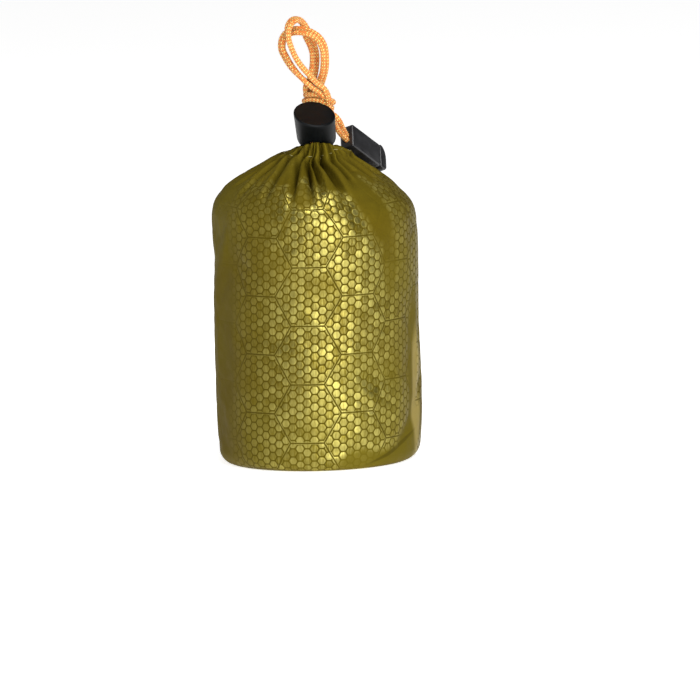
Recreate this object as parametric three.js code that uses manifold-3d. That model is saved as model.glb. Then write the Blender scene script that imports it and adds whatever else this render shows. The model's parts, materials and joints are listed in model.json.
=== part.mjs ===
// A packed emergency sleeping bag: a small drawstring sack of thin film cloth, filled tight with the
// rolled bag and gathered shut at the top, with a doubled cord, a barrel cord lock and a cord end.
// Millimetres, +Z up, seen from -Y, with the origin at the middle of the flat base.
import * as THREE from "three";
import { mergeVertices } from "three/addons/utils/BufferGeometryUtils.js";
import Module from "manifold-3d";

const wasm = await Module();
wasm.setup();

// Driving dimensions of the sack.
const SACK_RADIUS = 37.7;
const BASE_FLAT_RADIUS = 32.5;
const SHOULDER_HEIGHT = 97.8;
const STITCH_HEIGHT = 115.0;
const RIM_HEIGHT = 117.9;
const RIM_FRONT_RISE = 2.8;
const COLUMNS = 120;
// Driving dimensions of the cord and the fittings.
const CORD_DIAMETER = 2.0;
const CORD_SIDES = 8;
const PAIR_PITCH = 2.3;
const LOCK_RADIUS = 7.7;
const LOCK_LENGTH = 13.5;
const LOCK_TOP = new THREE.Vector3(1.3, -8.3, 130.4);
const LOCK_TILT = 30;
const END_LENGTH = 22.4;
const END_HEIGHT = 9.6;
const END_THICKNESS = 6.0;
const END_ENTRY = new THREE.Vector3(13.0, 10.2, 119.2);
const END_HEADING = 51;
const END_DIP = 30.8;
const END_ROLL = -23.4;
const FIT_GAP = 0.35;

const CLOTH = new THREE.MeshStandardMaterial({ color: 0x8c7a1c, roughness: 0.42, metalness: 0.35 });
const CORD = new THREE.MeshStandardMaterial({ color: 0xee8a2c, roughness: 0.8, metalness: 0 });
const PLASTIC = new THREE.MeshStandardMaterial({ color: 0x17181a, roughness: 0.38, metalness: 0 });

const radians = THREE.MathUtils.degToRad;

// The sack's section, from the middle of its base up the wall, over the shoulder, up the gathered
// collar and down into the closed mouth. Each row is one ring: its height, half-widths, the place of
// its middle, how far a pleat moves it inwards and down for each millimetre of the pleat's depth, how
// much higher it stands at the front, and the number of rings up to the next row.
const S = SHOULDER_HEIGHT;
const SECTION_COLUMNS = ["z", "rx", "ry", "x", "y", "inward", "down", "rise", "rings"];
const SECTION = [
  [0, 0.5 * BASE_FLAT_RADIUS, 0.5 * BASE_FLAT_RADIUS, 0, 0, 0, 0, 0, 1],
  [0, BASE_FLAT_RADIUS, BASE_FLAT_RADIUS, 0, 0, 0, 0, 0, 1],
  [0.9, SACK_RADIUS - 1.9, SACK_RADIUS - 1.9, 0.1, 0, 0, 0, 0, 1],
  [3.6, SACK_RADIUS - 0.4, SACK_RADIUS - 0.4, 0.1, 0, 0, 0, 0, 1],
  [9, SACK_RADIUS, SACK_RADIUS, 0, 0, 0, 0, 0, 2],
  [25, SACK_RADIUS + 0.4, SACK_RADIUS + 0.4, 0, 0, 0, 0, 0, 2],
  [50, SACK_RADIUS + 0.1, SACK_RADIUS + 0.1, -0.2, 0, 0, 0, 0, 3],
  [75, SACK_RADIUS + 0.3, SACK_RADIUS + 0.3, 0.1, 0, 0, 0, 0, 2],
  [S - 9.8, SACK_RADIUS + 0.2, SACK_RADIUS + 0.2, 0.2, 0, 0, 0, 0, 1],
  [S - 3.8, SACK_RADIUS - 0.3, SACK_RADIUS - 0.3, -0.2, 0, 0.05, 0, 0, 1],
  [S, 35.8, 35.8, -0.8, 0, 0.15, 0.1, 0, 1],
  [S + 2.9, 33.5, 33.5, -1.2, 0, 0.2, 0.25, 0, 1],
  [S + 5.8, 30.8, 30.8, -1.3, 0, 0.25, 0.4, 0, 2],
  [S + 9.4, 25.3, 25.3, -1.0, 0, 0.3, 0.6, 0, 1],
  [S + 11.7, 20.5, 20.5, -0.4, -0.4, 0.35, 0.8, 0, 1],
  [S + 13.8, 15.7, 15.7, 0.2, -0.9, 0.4, 0.9, 0, 1],
  [S + 15.6, 12.6, 12.4, 1.4, -1.6, 0.5, 0.95, 0, 1],
  [STITCH_HEIGHT - 0.6, 11.9, 11.4, 1.8, -2.4, 0.65, 0.7, 0.1, 1],
  [STITCH_HEIGHT, 11.3, 10.8, 2.0, -2.9, 0.75, 0.3, 0.3, 1],
  [STITCH_HEIGHT + 0.5, 10.9, 10.5, 2.1, -3.2, 0.6, 0.1, 0.6, 1],
  [STITCH_HEIGHT + 1.5, 9.9, 10.1, 2.1, -3.7, 0.45, 0.05, 1.2, 1],
  [RIM_HEIGHT - 0.5, 8.7, 9.3, 2.2, -4.1, 0.4, 0.1, 0.9 * RIM_FRONT_RISE, 1],
  [RIM_HEIGHT, 8.0, 8.8, 2.2, -4.1, 0.4, 0.15, RIM_FRONT_RISE, 1],
  [RIM_HEIGHT - 0.4, 7.3, 8.1, 2.2, -4.1, 0.35, 0.1, RIM_FRONT_RISE, 1],
  [RIM_HEIGHT - 2.0, 6.6, 7.6, 2.1, -3.9, 0.2, 0, 0.9, 1],
  [RIM_HEIGHT - 2.9, 5.0, 5.9, 1.9, -3.4, 0, 0, 0.3, 1],
  [RIM_HEIGHT - 3.1, 2.4, 2.8, 1.7, -3.0, 0, 0, 0, 1],
].map((row) => Object.fromEntries(SECTION_COLUMNS.map((name, i) => [name, row[i]])));

// The pleats of the gathered top. The angle is measured round the sack from the front, towards +X, at
// the stitch line, and lean is how far the pleat has turned where it dies out, at its reach from the
// middle. Depth and width are those at the stitch line.
const PLEATS = [
  { angle: -13, lean: 14, depth: 3.4, width: 1.25, reach: 39 },
  { angle: -2, lean: 12, depth: 2.8, width: 1.1, reach: 35 },
  { angle: 13, lean: 11, depth: 3.2, width: 1.8, reach: 36 },
  { angle: 27, lean: 8, depth: 2.0, width: 1.2, reach: 30 },
  { angle: 42, lean: 5, depth: 1.6, width: 1.4, reach: 22 },
  { angle: 57, lean: 6, depth: 1.8, width: 1.5, reach: 30 },
  { angle: 74, lean: 5, depth: 2.4, width: 1.7, reach: 28 },
  { angle: 94, lean: -2, depth: 2.8, width: 1.7, reach: 33 },
  { angle: 112, lean: 4, depth: 2.4, width: 1.5, reach: 27 },
  { angle: 131, lean: -3, depth: 3.0, width: 1.8, reach: 34 },
  { angle: 150, lean: 2, depth: 2.5, width: 1.5, reach: 28 },
  { angle: 167, lean: 4, depth: 2.9, width: 1.7, reach: 35 },
  { angle: 184, lean: -2, depth: 2.4, width: 1.5, reach: 27 },
  { angle: 201, lean: 3, depth: 3.1, width: 1.8, reach: 33 },
  { angle: 219, lean: -4, depth: 2.5, width: 1.5, reach: 29 },
  { angle: 237, lean: 2, depth: 2.9, width: 1.7, reach: 35 },
  { angle: 255, lean: 4, depth: 2.4, width: 1.6, reach: 28 },
  { angle: 272, lean: -3, depth: 2.8, width: 1.6, reach: 33 },
  { angle: 288, lean: 4, depth: 2.2, width: 1.5, reach: 31 },
  { angle: 302, lean: 7, depth: 2.7, width: 1.5, reach: 35 },
  { angle: 319, lean: 11, depth: 3.4, width: 1.5, reach: 36 },
  { angle: 334, lean: 14, depth: 3.2, width: 1.3, reach: 38 },
];
// A pleat is at its deepest inside the full radius and dies out at its reach, growing wider on the way.
// A ridge stands on each side of it, a share of its depth high.
const PLEAT_FULL_RADIUS = 13;
const PLEAT_WIDTH_AT_STITCHES = 0.7;
const PLEAT_WIDENING = 0.35;
const LEAST_TURNING_RADIUS = 9;
const RIDGE_OFFSET = 2.2;
const RIDGE_SHARE = 0.22;

// Soft hollows where the packed roll leaves the cloth slack: where each is, its half-width round the
// sack, its half-height and its depth, and how far its middle moves round for each millimetre of height.
const HOLLOWS = [
  { angle: 79, z: 1, width: 17, height: 9, depth: 0.8, lean: -0.6 },
  { angle: 68, z: 17, width: 5, height: 12, depth: 0.9, lean: 0.9 },
  { angle: 84, z: 62, width: 4, height: 30, depth: 0.8, lean: 0 },
  { angle: -66, z: 89, width: 5, height: 14, depth: 0.8, lean: 0.25 },
  { angle: -28, z: 92, width: 9, height: 7, depth: 0.7, lean: 0.3 },
  { angle: 32, z: 90, width: 8, height: 9, depth: 0.8, lean: -0.4 },
  { angle: -82, z: 34, width: 6, height: 24, depth: 0.8, lean: 0.1 },
  { angle: 128, z: 55, width: 7, height: 34, depth: 1.0, lean: 0.1 },
  { angle: 176, z: 30, width: 9, height: 20, depth: 0.9, lean: -0.3 },
  { angle: 205, z: 78, width: 8, height: 22, depth: 0.9, lean: 0.2 },
  { angle: 240, z: 48, width: 6, height: 28, depth: 0.8, lean: -0.2 },
];

// The base takes a share of a hollow that reaches it, and the gathered top takes none.
const HOLLOW_SHARE_ON_BASE = 0.6;
const HOLLOW_LEAST_RADIUS = 25;

// The drawstring's two ends lie side by side as one doubled cord. Each row of a stretch is a point on
// the middle of the pair, and then the way across it, from the first cord to the second.
const STRETCHES = {
  neck: {
    steps: 5,
    route: [
      [1.3, -9.9, 119.05, 1, 0, 0],
      [1.3, -4.0, 122.5, 1, 0, 0],
      [1.3, 2.9, 126.5, 1, 0, 0],
      [1.5, 4.8, 127.9, 1, 0, 0],
      [2.1, 5.3, 129.4, 1, 0, 0],
      [2.4, 5.2, 130.1, 1, 0, 0],
    ],
  },
  outer_loop: {
    steps: 20,
    route: [
      [3.2, 0.3, 137.5, 0, 1, 0],
      [0.6, 0.4, 139.5, 0, 1, 0],
      [-1.9, 0.5, 141.8, 0, 1, 0],
      [-4.0, 0.9, 143.9, -0.1, 1, -0.1],
      [-6.4, 1.6, 146.7, -0.2, 0.9, -0.2],
      [-8.6, 2.5, 150.3, -0.35, 0.9, -0.1],
      [-10.0, 3.2, 153.6, -0.35, 0.9, 0],
      [-9.7, 3.8, 156.8, -0.35, 0.9, 0.1],
      [-8.5, 4.1, 158.7, -0.3, 0.9, 0.3],
      [-6.2, 3.6, 160.0, -0.2, 0.85, 0.4],
      [-2.8, 1.4, 160.4, 0, 0.85, 0.5],
      [1.1, 0.1, 159.4, 0.2, 0.85, 0.4],
      [3.8, -0.2, 157.3, 0.35, 0.85, 0.3],
      [5.4, 0.2, 154.1, 0.45, 0.85, 0.1],
      [5.8, 1.1, 149.3, 0.5, 0.85, 0],
      [5.4, 2.5, 145.2, 0.5, 0.85, 0],
      [4.4, 4.1, 141.9, 0.6, 0.8, 0],
      [3.4, 5.2, 139.2, 0.6, 0.8, 0],
      [2.9, 5.4, 138.2, 0.6, 0.8, 0],
    ],
  },
  inner_loop: {
    steps: 21,
    route: [
      [-1.0, 4.5, 138.8, 0.6, 0.8, 0],
      [0.1, 4.8, 140.8, 0.65, 0.75, -0.2],
      [1.0, 4.9, 142.8, 0.7, 0.7, 0],
      [1.6, 5.0, 145.3, 0.7, 0.7, 0],
      [2.0, 5.1, 149.1, 0.7, 0.7, 0],
      [1.9, 5.2, 151.9, 0.7, 0.7, 0],
      [1.0, 5.5, 155.0, 0.6, 0.7, 0.3],
      [-0.4, 5.7, 158.0, 0.5, 0.7, 0.4],
      [-1.1, 6.3, 160.9, 0.3, 0.9, 0.2],
      [-2.6, 5.8, 163.3, 0, 0.9, 0.2],
      [-4.8, 3.6, 164.3, -0.5, 0.8, 0.1],
      [-6.9, 0.2, 162.8, -0.5, 0.8, -0.2],
      [-7.6, -1.0, 160.2, -0.2, 1, -0.2],
      [-7.3, -1.3, 157.2, 0, 1, 0],
      [-6.5, -1.2, 154.4, 0, 1, 0],
      [-4.9, -1.0, 150.5, 0, 1, 0],
      [-2.9, -0.6, 147.3, 0, 1, 0],
      [0.2, -0.1, 143.6, 0, 1, 0],
      [2.4, -0.1, 141.1, 0, 1, 0],
      [5.2, -0.2, 138.6, 0, 1, 0],
    ],
  },
  tail: {
    steps: 5,
    route: [
      [8.0, 3.5, 128.6, 0.2, -0.9, -0.3],
      [8.8, 4.1, 127.0, -0.4, -0.75, -0.4],
      [9.9, 5.3, 124.9, -0.7, -0.5, -0.5],
      [11.2, 7.6, 121.9, -0.45, -0.55, -0.7],
      [13.0, 10.2, 119.2, 0, -0.64, -0.77],
      [14.7, 12.3, 117.55, 0, -0.64, -0.77],
    ],
  },
};

// The knot that holds the loops: the pair wrapped once round them, so it shows two ridges. Each row
// is a ring: its height and how far it lies inside the knot's widest outline.
const KNOT = { x: 3.1, y: 4.15, z: 133.5, halfWidth: 6.3, halfDepth: 4.6, tilt: 25, columns: 28 };
const KNOT_RINGS = [
  [-2.9, 3.0],
  [-2.6, 1.5],
  [-2.1, 0.4],
  [-1.1, 0],
  [-0.3, 0.35],
  [0, 0.6],
  [0.3, 0.35],
  [1.1, 0],
  [2.1, 0.4],
  [2.6, 1.5],
  [2.9, 3.0],
];

// Lathes rings given by half-width and height, then moves every point to where place() puts it.
// place takes the ring's number and the angle from the front towards +X.
function shapedLathe(rings, columns, place) {
  const first = rings[0];
  const last = rings[rings.length - 1];
  const outline = [new THREE.Vector2(0, first.z)];
  rings.forEach((ring) => outline.push(new THREE.Vector2(ring.radius, ring.z)));
  outline.push(new THREE.Vector2(0, last.z));
  const geometry = new THREE.LatheGeometry(outline, columns);
  const position = geometry.getAttribute("position");
  const perColumn = outline.length;
  const bottom = place(-1, 0);
  const top = place(rings.length, 0);
  for (let i = 0; i < position.count; i += 1) {
    const ring = (i % perColumn) - 1;
    const angle = (Math.floor(i / perColumn) % columns) * ((2 * Math.PI) / columns);
    let point = place(ring, angle);
    if (ring < 0) point = bottom;
    if (ring === rings.length) point = top;
    position.setXYZ(i, point.x, point.y, point.z);
  }
  return closed(geometry);
}

// Leaves only the positions, with shared points merged and collapsed triangles dropped.
function closed(geometry) {
  const bare = geometry.index ? geometry.toNonIndexed() : geometry.clone();
  bare.deleteAttribute("normal");
  bare.deleteAttribute("uv");
  const merged = mergeVertices(bare, 1e-3);
  const kept = [];
  const index = merged.index.array;
  for (let i = 0; i < index.length; i += 3) {
    const [a, b, c] = [index[i], index[i + 1], index[i + 2]];
    if (a !== b && b !== c && a !== c) kept.push(a, b, c);
  }
  merged.setIndex(kept);
  merged.computeVertexNormals();
  return merged;
}

// Catmull-Rom between table values, with the end values held.
function smoothBetween(values, at) {
  const i = Math.min(Math.floor(at), values.length - 2);
  const t = at - i;
  const held = (k) => values[THREE.MathUtils.clamp(k, 0, values.length - 1)];
  const [a, b, c, d] = [held(i - 1), held(i), held(i + 1), held(i + 2)];
  const square = 2 * a - 5 * b + 4 * c - d;
  const cube = 3 * b - a - 3 * c + d;
  return 0.5 * (2 * b + (c - a) * t + square * t ** 2 + cube * t ** 3);
}

// Every ring of the sack, worked out from the rows of the section.
function sackRings() {
  const rings = [];
  const columnOf = (name) => SECTION.map((row) => row[name]);
  SECTION.forEach((row, i) => {
    const count = i === SECTION.length - 1 ? 1 : row.rings;
    for (let k = 0; k < count; k += 1) {
      const at = i + k / count;
      const ring = {};
      SECTION_COLUMNS.forEach((name) => {
        ring[name] = smoothBetween(columnOf(name), at);
      });
      ring.z = Math.max(ring.z, 0);
      ring.radius = ring.rx;
      rings.push(ring);
    }
  });
  return rings;
}

// The signed difference of two angles in degrees, from -180 to 180.
function turnBetween(a, b) {
  return THREE.MathUtils.euclideanModulo(a - b + 180, 360) - 180;
}

// How deep the gathers are at an angle and a distance from the middle of the sack.
function pleatDepth(degrees, radius) {
  let depth = 0;
  PLEATS.forEach((pleat) => {
    const past = (radius - PLEAT_FULL_RADIUS) / (pleat.reach - PLEAT_FULL_RADIUS);
    const out = THREE.MathUtils.clamp(past, 0, 1);
    const fade = (1 - out ** 3) ** 1.5;
    const width = pleat.width * (PLEAT_WIDTH_AT_STITCHES + PLEAT_WIDENING * out);
    const away = radians(turnBetween(degrees, pleat.angle + pleat.lean * (1 - (1 - out) ** 3))) * radius;
    const valley = Math.exp(-((away / width) ** 2));
    const ridges = Math.exp(-(((Math.abs(away) - RIDGE_OFFSET * width) / width) ** 2));
    depth += pleat.depth * fade * (valley - RIDGE_SHARE * ridges);
  });
  return depth;
}

// How far the wall is drawn in by its hollows.
function hollowDepth(degrees, z) {
  let depth = 0;
  HOLLOWS.forEach((hollow) => {
    const up = z - hollow.z;
    const round = radians(turnBetween(degrees, hollow.angle)) * SACK_RADIUS - hollow.lean * up;
    depth += hollow.depth * Math.exp(-((round / hollow.width) ** 2) - (up / hollow.height) ** 2);
  });
  return depth;
}

function makeSack() {
  const rings = sackRings();
  const last = rings[rings.length - 1];
  const place = (number, angle) => {
    if (number < 0) return new THREE.Vector3(0, 0, 0);
    if (number >= rings.length) return new THREE.Vector3(last.x, last.y, last.z - 0.1);
    const ring = rings[number];
    const degrees = THREE.MathUtils.radToDeg(angle);
    const pleat = pleatDepth(degrees, Math.max(ring.rx, LEAST_TURNING_RADIUS));
    const share = ring.z > 0 ? 1 : HOLLOW_SHARE_ON_BASE;
    const hollow = ring.rx > HOLLOW_LEAST_RADIUS ? share * hollowDepth(degrees, ring.z) : 0;
    const drawnIn = ring.inward * pleat + hollow;
    const front = Math.max(0, Math.cos(angle));
    return new THREE.Vector3(
      ring.x + (ring.rx - drawnIn) * Math.sin(angle),
      ring.y - (ring.ry - drawnIn) * Math.cos(angle),
      ring.z + ring.rise * front * front - ring.down * pleat,
    );
  };
  const geometry = shapedLathe(rings, COLUMNS, place);
  geometry.computeBoundingBox();
  const middle = geometry.boundingBox.getCenter(new THREE.Vector3());
  return geometry.translate(-middle.x, -middle.y, 0);
}

function makeKnot() {
  const rings = KNOT_RINGS.map(([z, inset]) => ({ z, inset, radius: KNOT.halfWidth - inset }));
  const place = (number, angle) => {
    if (number < 0) return new THREE.Vector3(0, 0, rings[0].z);
    if (number >= rings.length) return new THREE.Vector3(0, 0, rings[rings.length - 1].z);
    const { z, inset } = rings[number];
    return new THREE.Vector3(
      (KNOT.halfWidth - inset) * Math.sin(angle),
      -(KNOT.halfDepth - inset) * Math.cos(angle),
      z,
    );
  };
  return shapedLathe(rings, KNOT.columns, place);
}

// One cord of a stretch: side is -1 for the first of the pair and 1 for the second.
function makeCord(stretch, side) {
  const middles = stretch.route.map(([x, y, z]) => new THREE.Vector3(x, y, z));
  const points = middles.map((middle, i) => {
    const before = middles[Math.max(i - 1, 0)];
    const after = middles[Math.min(i + 1, middles.length - 1)];
    const along = after.clone().sub(before).normalize();
    const across = new THREE.Vector3(...stretch.route[i].slice(3));
    across.addScaledVector(along, -across.dot(along)).normalize();
    return middle.clone().addScaledVector(across, (side * PAIR_PITCH) / 2);
  });
  const path = new THREE.CatmullRomCurve3(points, false, "centripetal");
  const corners = [];
  for (let k = 0; k < CORD_SIDES; k += 1) {
    const turn = (2 * Math.PI * k) / CORD_SIDES;
    corners.push(new THREE.Vector2(Math.cos(turn), Math.sin(turn)).multiplyScalar(CORD_DIAMETER / 2));
  }
  const section = new THREE.Shape(corners);
  return closed(new THREE.ExtrudeGeometry(section, { steps: stretch.steps, extrudePath: path }));
}

// A slot with round ends, run along Y through the origin.
function slotCutter(width, height, length) {
  const half = (width - height) / 2;
  const slot = new THREE.Shape();
  slot.absarc(half, 0, height / 2, -Math.PI / 2, Math.PI / 2);
  slot.absarc(-half, 0, height / 2, Math.PI / 2, (3 * Math.PI) / 2);
  const settings = { depth: length, bevelEnabled: false, curveSegments: 4 };
  const cutter = new THREE.ExtrudeGeometry(slot, settings);
  return cutter.translate(0, 0, -length / 2).rotateX(Math.PI / 2);
}

function solidOf(geometry) {
  const mesh = closed(geometry);
  const vertProperties = new Float32Array(mesh.getAttribute("position").array);
  const triVerts = new Uint32Array(mesh.index.array);
  return new wasm.Manifold(new wasm.Mesh({ numProp: 3, vertProperties, triVerts }));
}

function geometryOf(solid) {
  const { vertProperties, triVerts } = solid.getMesh();
  const geometry = new THREE.BufferGeometry();
  geometry.setAttribute("position", new THREE.BufferAttribute(vertProperties, 3));
  geometry.setIndex(new THREE.BufferAttribute(triVerts, 1));
  geometry.computeVertexNormals();
  return geometry;
}

// The barrel: a drum with a flat top and a well rounded lower edge, and an oval bore across it for
// the doubled cord. Its origin is the middle of its top face.
const LOCK_FILLET = 3.2;
const LOCK_BEVEL = 0.5;
const LOCK_BORE_DEPTH = 9.0;
// How far the top face slopes down to the right, and how much narrower the drum is at its foot.
const LOCK_TOP_SLOPE = 0.14;
const LOCK_FOOT_TAPER = 0.4;
function makeLock() {
  const outline = [new THREE.Vector2(0, -LOCK_LENGTH)];
  for (let k = 0; k <= 5; k += 1) {
    const turn = (Math.PI / 2) * (k / 5);
    const r = LOCK_RADIUS - LOCK_FOOT_TAPER - LOCK_FILLET * (1 - Math.sin(turn));
    outline.push(new THREE.Vector2(r, -LOCK_LENGTH + LOCK_FILLET * (1 - Math.cos(turn))));
  }
  outline.push(new THREE.Vector2(LOCK_RADIUS, -LOCK_BEVEL));
  outline.push(new THREE.Vector2(LOCK_RADIUS - 0.3 * LOCK_BEVEL, -0.3 * LOCK_BEVEL));
  outline.push(new THREE.Vector2(LOCK_RADIUS - LOCK_BEVEL, 0));
  outline.push(new THREE.Vector2(0, 0));
  const drum = new THREE.LatheGeometry(outline, 40).rotateX(Math.PI / 2);
  const position = drum.getAttribute("position");
  for (let i = 0; i < position.count; i += 1) {
    const share = 1 + position.getZ(i) / LOCK_LENGTH;
    position.setZ(i, position.getZ(i) - LOCK_TOP_SLOPE * share * position.getX(i));
  }
  const width = PAIR_PITCH + CORD_DIAMETER + 2 * FIT_GAP;
  const bore = slotCutter(width, CORD_DIAMETER + 2 * FIT_GAP, 4 * LOCK_RADIUS);
  bore.translate(0, 0, -LOCK_BORE_DEPTH);
  return geometryOf(solidOf(drum).subtract(solidOf(bore)));
}

// The cord end's two mouldings, drawn in the plane of its length and height and given its thickness.
// The origin is the middle of the face that the cords go into, with the length along +X.
const END_SEAM = 18.5;
const END_SEAM_GAP = 0.3;
const END_EDGE = 0.6;
const END_TOP_LIFT = 2.5;
const END_TOP_DRAW = 1.4;
const END_TOE_ROUND = 1.6;
const CAP_PROUD = 0.2;
const SOCKET_DEPTH = 3.4;

function plate(outline, thickness) {
  const geometry = new THREE.ExtrudeGeometry(outline, {
    depth: thickness - 2 * END_EDGE,
    bevelEnabled: true,
    bevelThickness: END_EDGE,
    bevelSize: END_EDGE,
    bevelOffset: -END_EDGE,
    bevelSegments: 2,
    curveSegments: 4,
  });
  return geometry.translate(0, 0, END_EDGE - thickness / 2).rotateX(Math.PI / 2);
}

function makeEndBody() {
  const half = END_HEIGHT / 2;
  const outline = new THREE.Shape();
  outline.moveTo(0, -half);
  outline.lineTo(END_SEAM, -half);
  outline.lineTo(END_SEAM, half);
  outline.lineTo(0, half);
  outline.closePath();
  const width = PAIR_PITCH + CORD_DIAMETER + 2 * FIT_GAP;
  const socket = slotCutter(width, CORD_DIAMETER + 2 * FIT_GAP, 2 * SOCKET_DEPTH + 1);
  socket.rotateZ(Math.PI / 2).rotateX(Math.PI / 2);
  return geometryOf(solidOf(plate(outline, END_THICKNESS)).subtract(solidOf(socket)));
}

function makeEndCap() {
  const half = END_HEIGHT / 2 + CAP_PROUD;
  const outline = new THREE.Shape();
  const start = END_SEAM + END_SEAM_GAP;
  outline.moveTo(start, -half);
  outline.lineTo(END_LENGTH - END_TOE_ROUND, -half);
  outline.absarc(END_LENGTH - END_TOE_ROUND, END_TOE_ROUND - half, END_TOE_ROUND, -Math.PI / 2, 0);
  outline.lineTo(END_LENGTH, 0);
  outline.bezierCurveTo(END_LENGTH, END_TOP_LIFT, END_LENGTH - END_TOP_DRAW, half, start, half);
  outline.closePath();
  return closed(plate(outline, END_THICKNESS + 2 * CAP_PROUD));
}

function named(name, geometry, material) {
  const mesh = new THREE.Mesh(geometry, material);
  mesh.name = name;
  return mesh;
}

const part = new THREE.Group();
part.add(named("sack", makeSack(), CLOTH));

const lock = new THREE.Group();
lock.position.copy(LOCK_TOP);
lock.rotation.set(radians(LOCK_TILT), 0, 0);
lock.add(named("cord_lock", makeLock(), PLASTIC));
part.add(lock);

// The cord end lies on the back right of the shoulder: turned to its heading, dipped along the slope
// and rolled so that its broad side looks up and forwards.
const end = new THREE.Group();
end.position.copy(END_ENTRY);
end.rotation.set(radians(END_ROLL), radians(END_DIP), radians(END_HEADING), "ZYX");
end.add(named("cord_end_body", makeEndBody(), PLASTIC));
end.add(named("cord_end_cap", makeEndCap(), PLASTIC));
part.add(end);

const knot = named("cord_knot", makeKnot(), CORD);
knot.position.set(KNOT.x, KNOT.y, KNOT.z);
knot.rotation.set(0, radians(KNOT.tilt), 0);
part.add(knot);

Object.entries(STRETCHES).forEach(([name, stretch]) => {
  part.add(named(`cord_a_${name}`, makeCord(stretch, -1), CORD));
  part.add(named(`cord_b_${name}`, makeCord(stretch, 1), CORD));
});

export default part;
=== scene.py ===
"""A rolled emergency sleeping bag packed in its small drawstring sack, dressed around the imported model.

Everything is in metres in the shared frame, and the tables below are in millimetres.
"""

import json
import logging
import math
import random
from dataclasses import dataclass, field
from enum import Enum

import bmesh
import bpy
import numpy as np
from mathutils import Matrix, Vector
from mathutils.bvhtree import BVHTree

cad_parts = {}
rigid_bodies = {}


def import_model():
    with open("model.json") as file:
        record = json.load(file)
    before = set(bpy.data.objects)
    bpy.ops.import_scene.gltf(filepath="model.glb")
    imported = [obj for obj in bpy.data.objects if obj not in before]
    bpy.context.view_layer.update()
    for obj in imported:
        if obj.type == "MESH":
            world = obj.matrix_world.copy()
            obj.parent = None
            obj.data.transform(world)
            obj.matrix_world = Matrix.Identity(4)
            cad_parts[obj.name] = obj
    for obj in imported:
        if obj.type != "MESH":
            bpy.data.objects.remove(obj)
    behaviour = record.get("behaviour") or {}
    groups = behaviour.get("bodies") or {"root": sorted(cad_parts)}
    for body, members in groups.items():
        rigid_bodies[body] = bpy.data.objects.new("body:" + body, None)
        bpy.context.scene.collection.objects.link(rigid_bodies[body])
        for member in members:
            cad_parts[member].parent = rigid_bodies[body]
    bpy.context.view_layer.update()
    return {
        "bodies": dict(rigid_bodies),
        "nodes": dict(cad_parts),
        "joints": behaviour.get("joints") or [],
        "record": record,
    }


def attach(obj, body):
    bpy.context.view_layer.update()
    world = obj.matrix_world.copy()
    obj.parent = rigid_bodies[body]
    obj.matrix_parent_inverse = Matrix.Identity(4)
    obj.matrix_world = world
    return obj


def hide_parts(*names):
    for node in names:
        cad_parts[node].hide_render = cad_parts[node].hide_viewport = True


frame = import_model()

LOG = logging.getLogger("sack")
MM = 0.001
ROOT = "root"
UV_SPAN_MM = 250.0
MERGE_DISTANCE = 1e-6
SHARP_ANGLE = math.radians(40)
WHITE = (1.0, 1.0, 1.0, 1.0)

Array = np.ndarray
BMesh = bmesh.types.BMesh
Colour = tuple[float, float, float, float]
Material = bpy.types.Material
Mesh = bpy.types.Mesh
Object = bpy.types.Object
Point = tuple[float, float, float]
Socket = bpy.types.NodeSocket


class Slot(Enum):
    """The record's material slots."""

    CLOTH = "sack_cloth"
    CORD = "cord"
    PLASTIC = "black_plastic"


class CordSide(Enum):
    """Which of the two cords of a pair, as its place across the pair."""

    A = -1
    B = 1


# Driving dimensions, in millimetres, as in the solids.
SACK_RADIUS = 37.7
BASE_FLAT_RADIUS = 32.5
SHOULDER = 97.8
STITCH = 115.0
RIM = 117.9
RIM_FRONT_RISE = 2.8
CORD_DIAMETER = 2.0
PAIR_PITCH = 2.3
LOCK_TOP = (1.3, -8.3, 130.4)
LOCK_TILT = 30.0
END_ENTRY = (13.0, 10.2, 119.2)
END_TURN = (-23.4, 30.8, 51.0)


@dataclass(frozen=True)
class Ring:
    """One row of the sack's section: a ring's height, half-widths and middle, how far a pleat moves it
    inwards and down for each millimetre of its depth, and how much higher it stands at the front."""

    z: float
    rx: float
    ry: float
    x: float = 0.0
    y: float = 0.0
    inward: float = 0.0
    down: float = 0.0
    rise: float = 0.0


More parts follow.
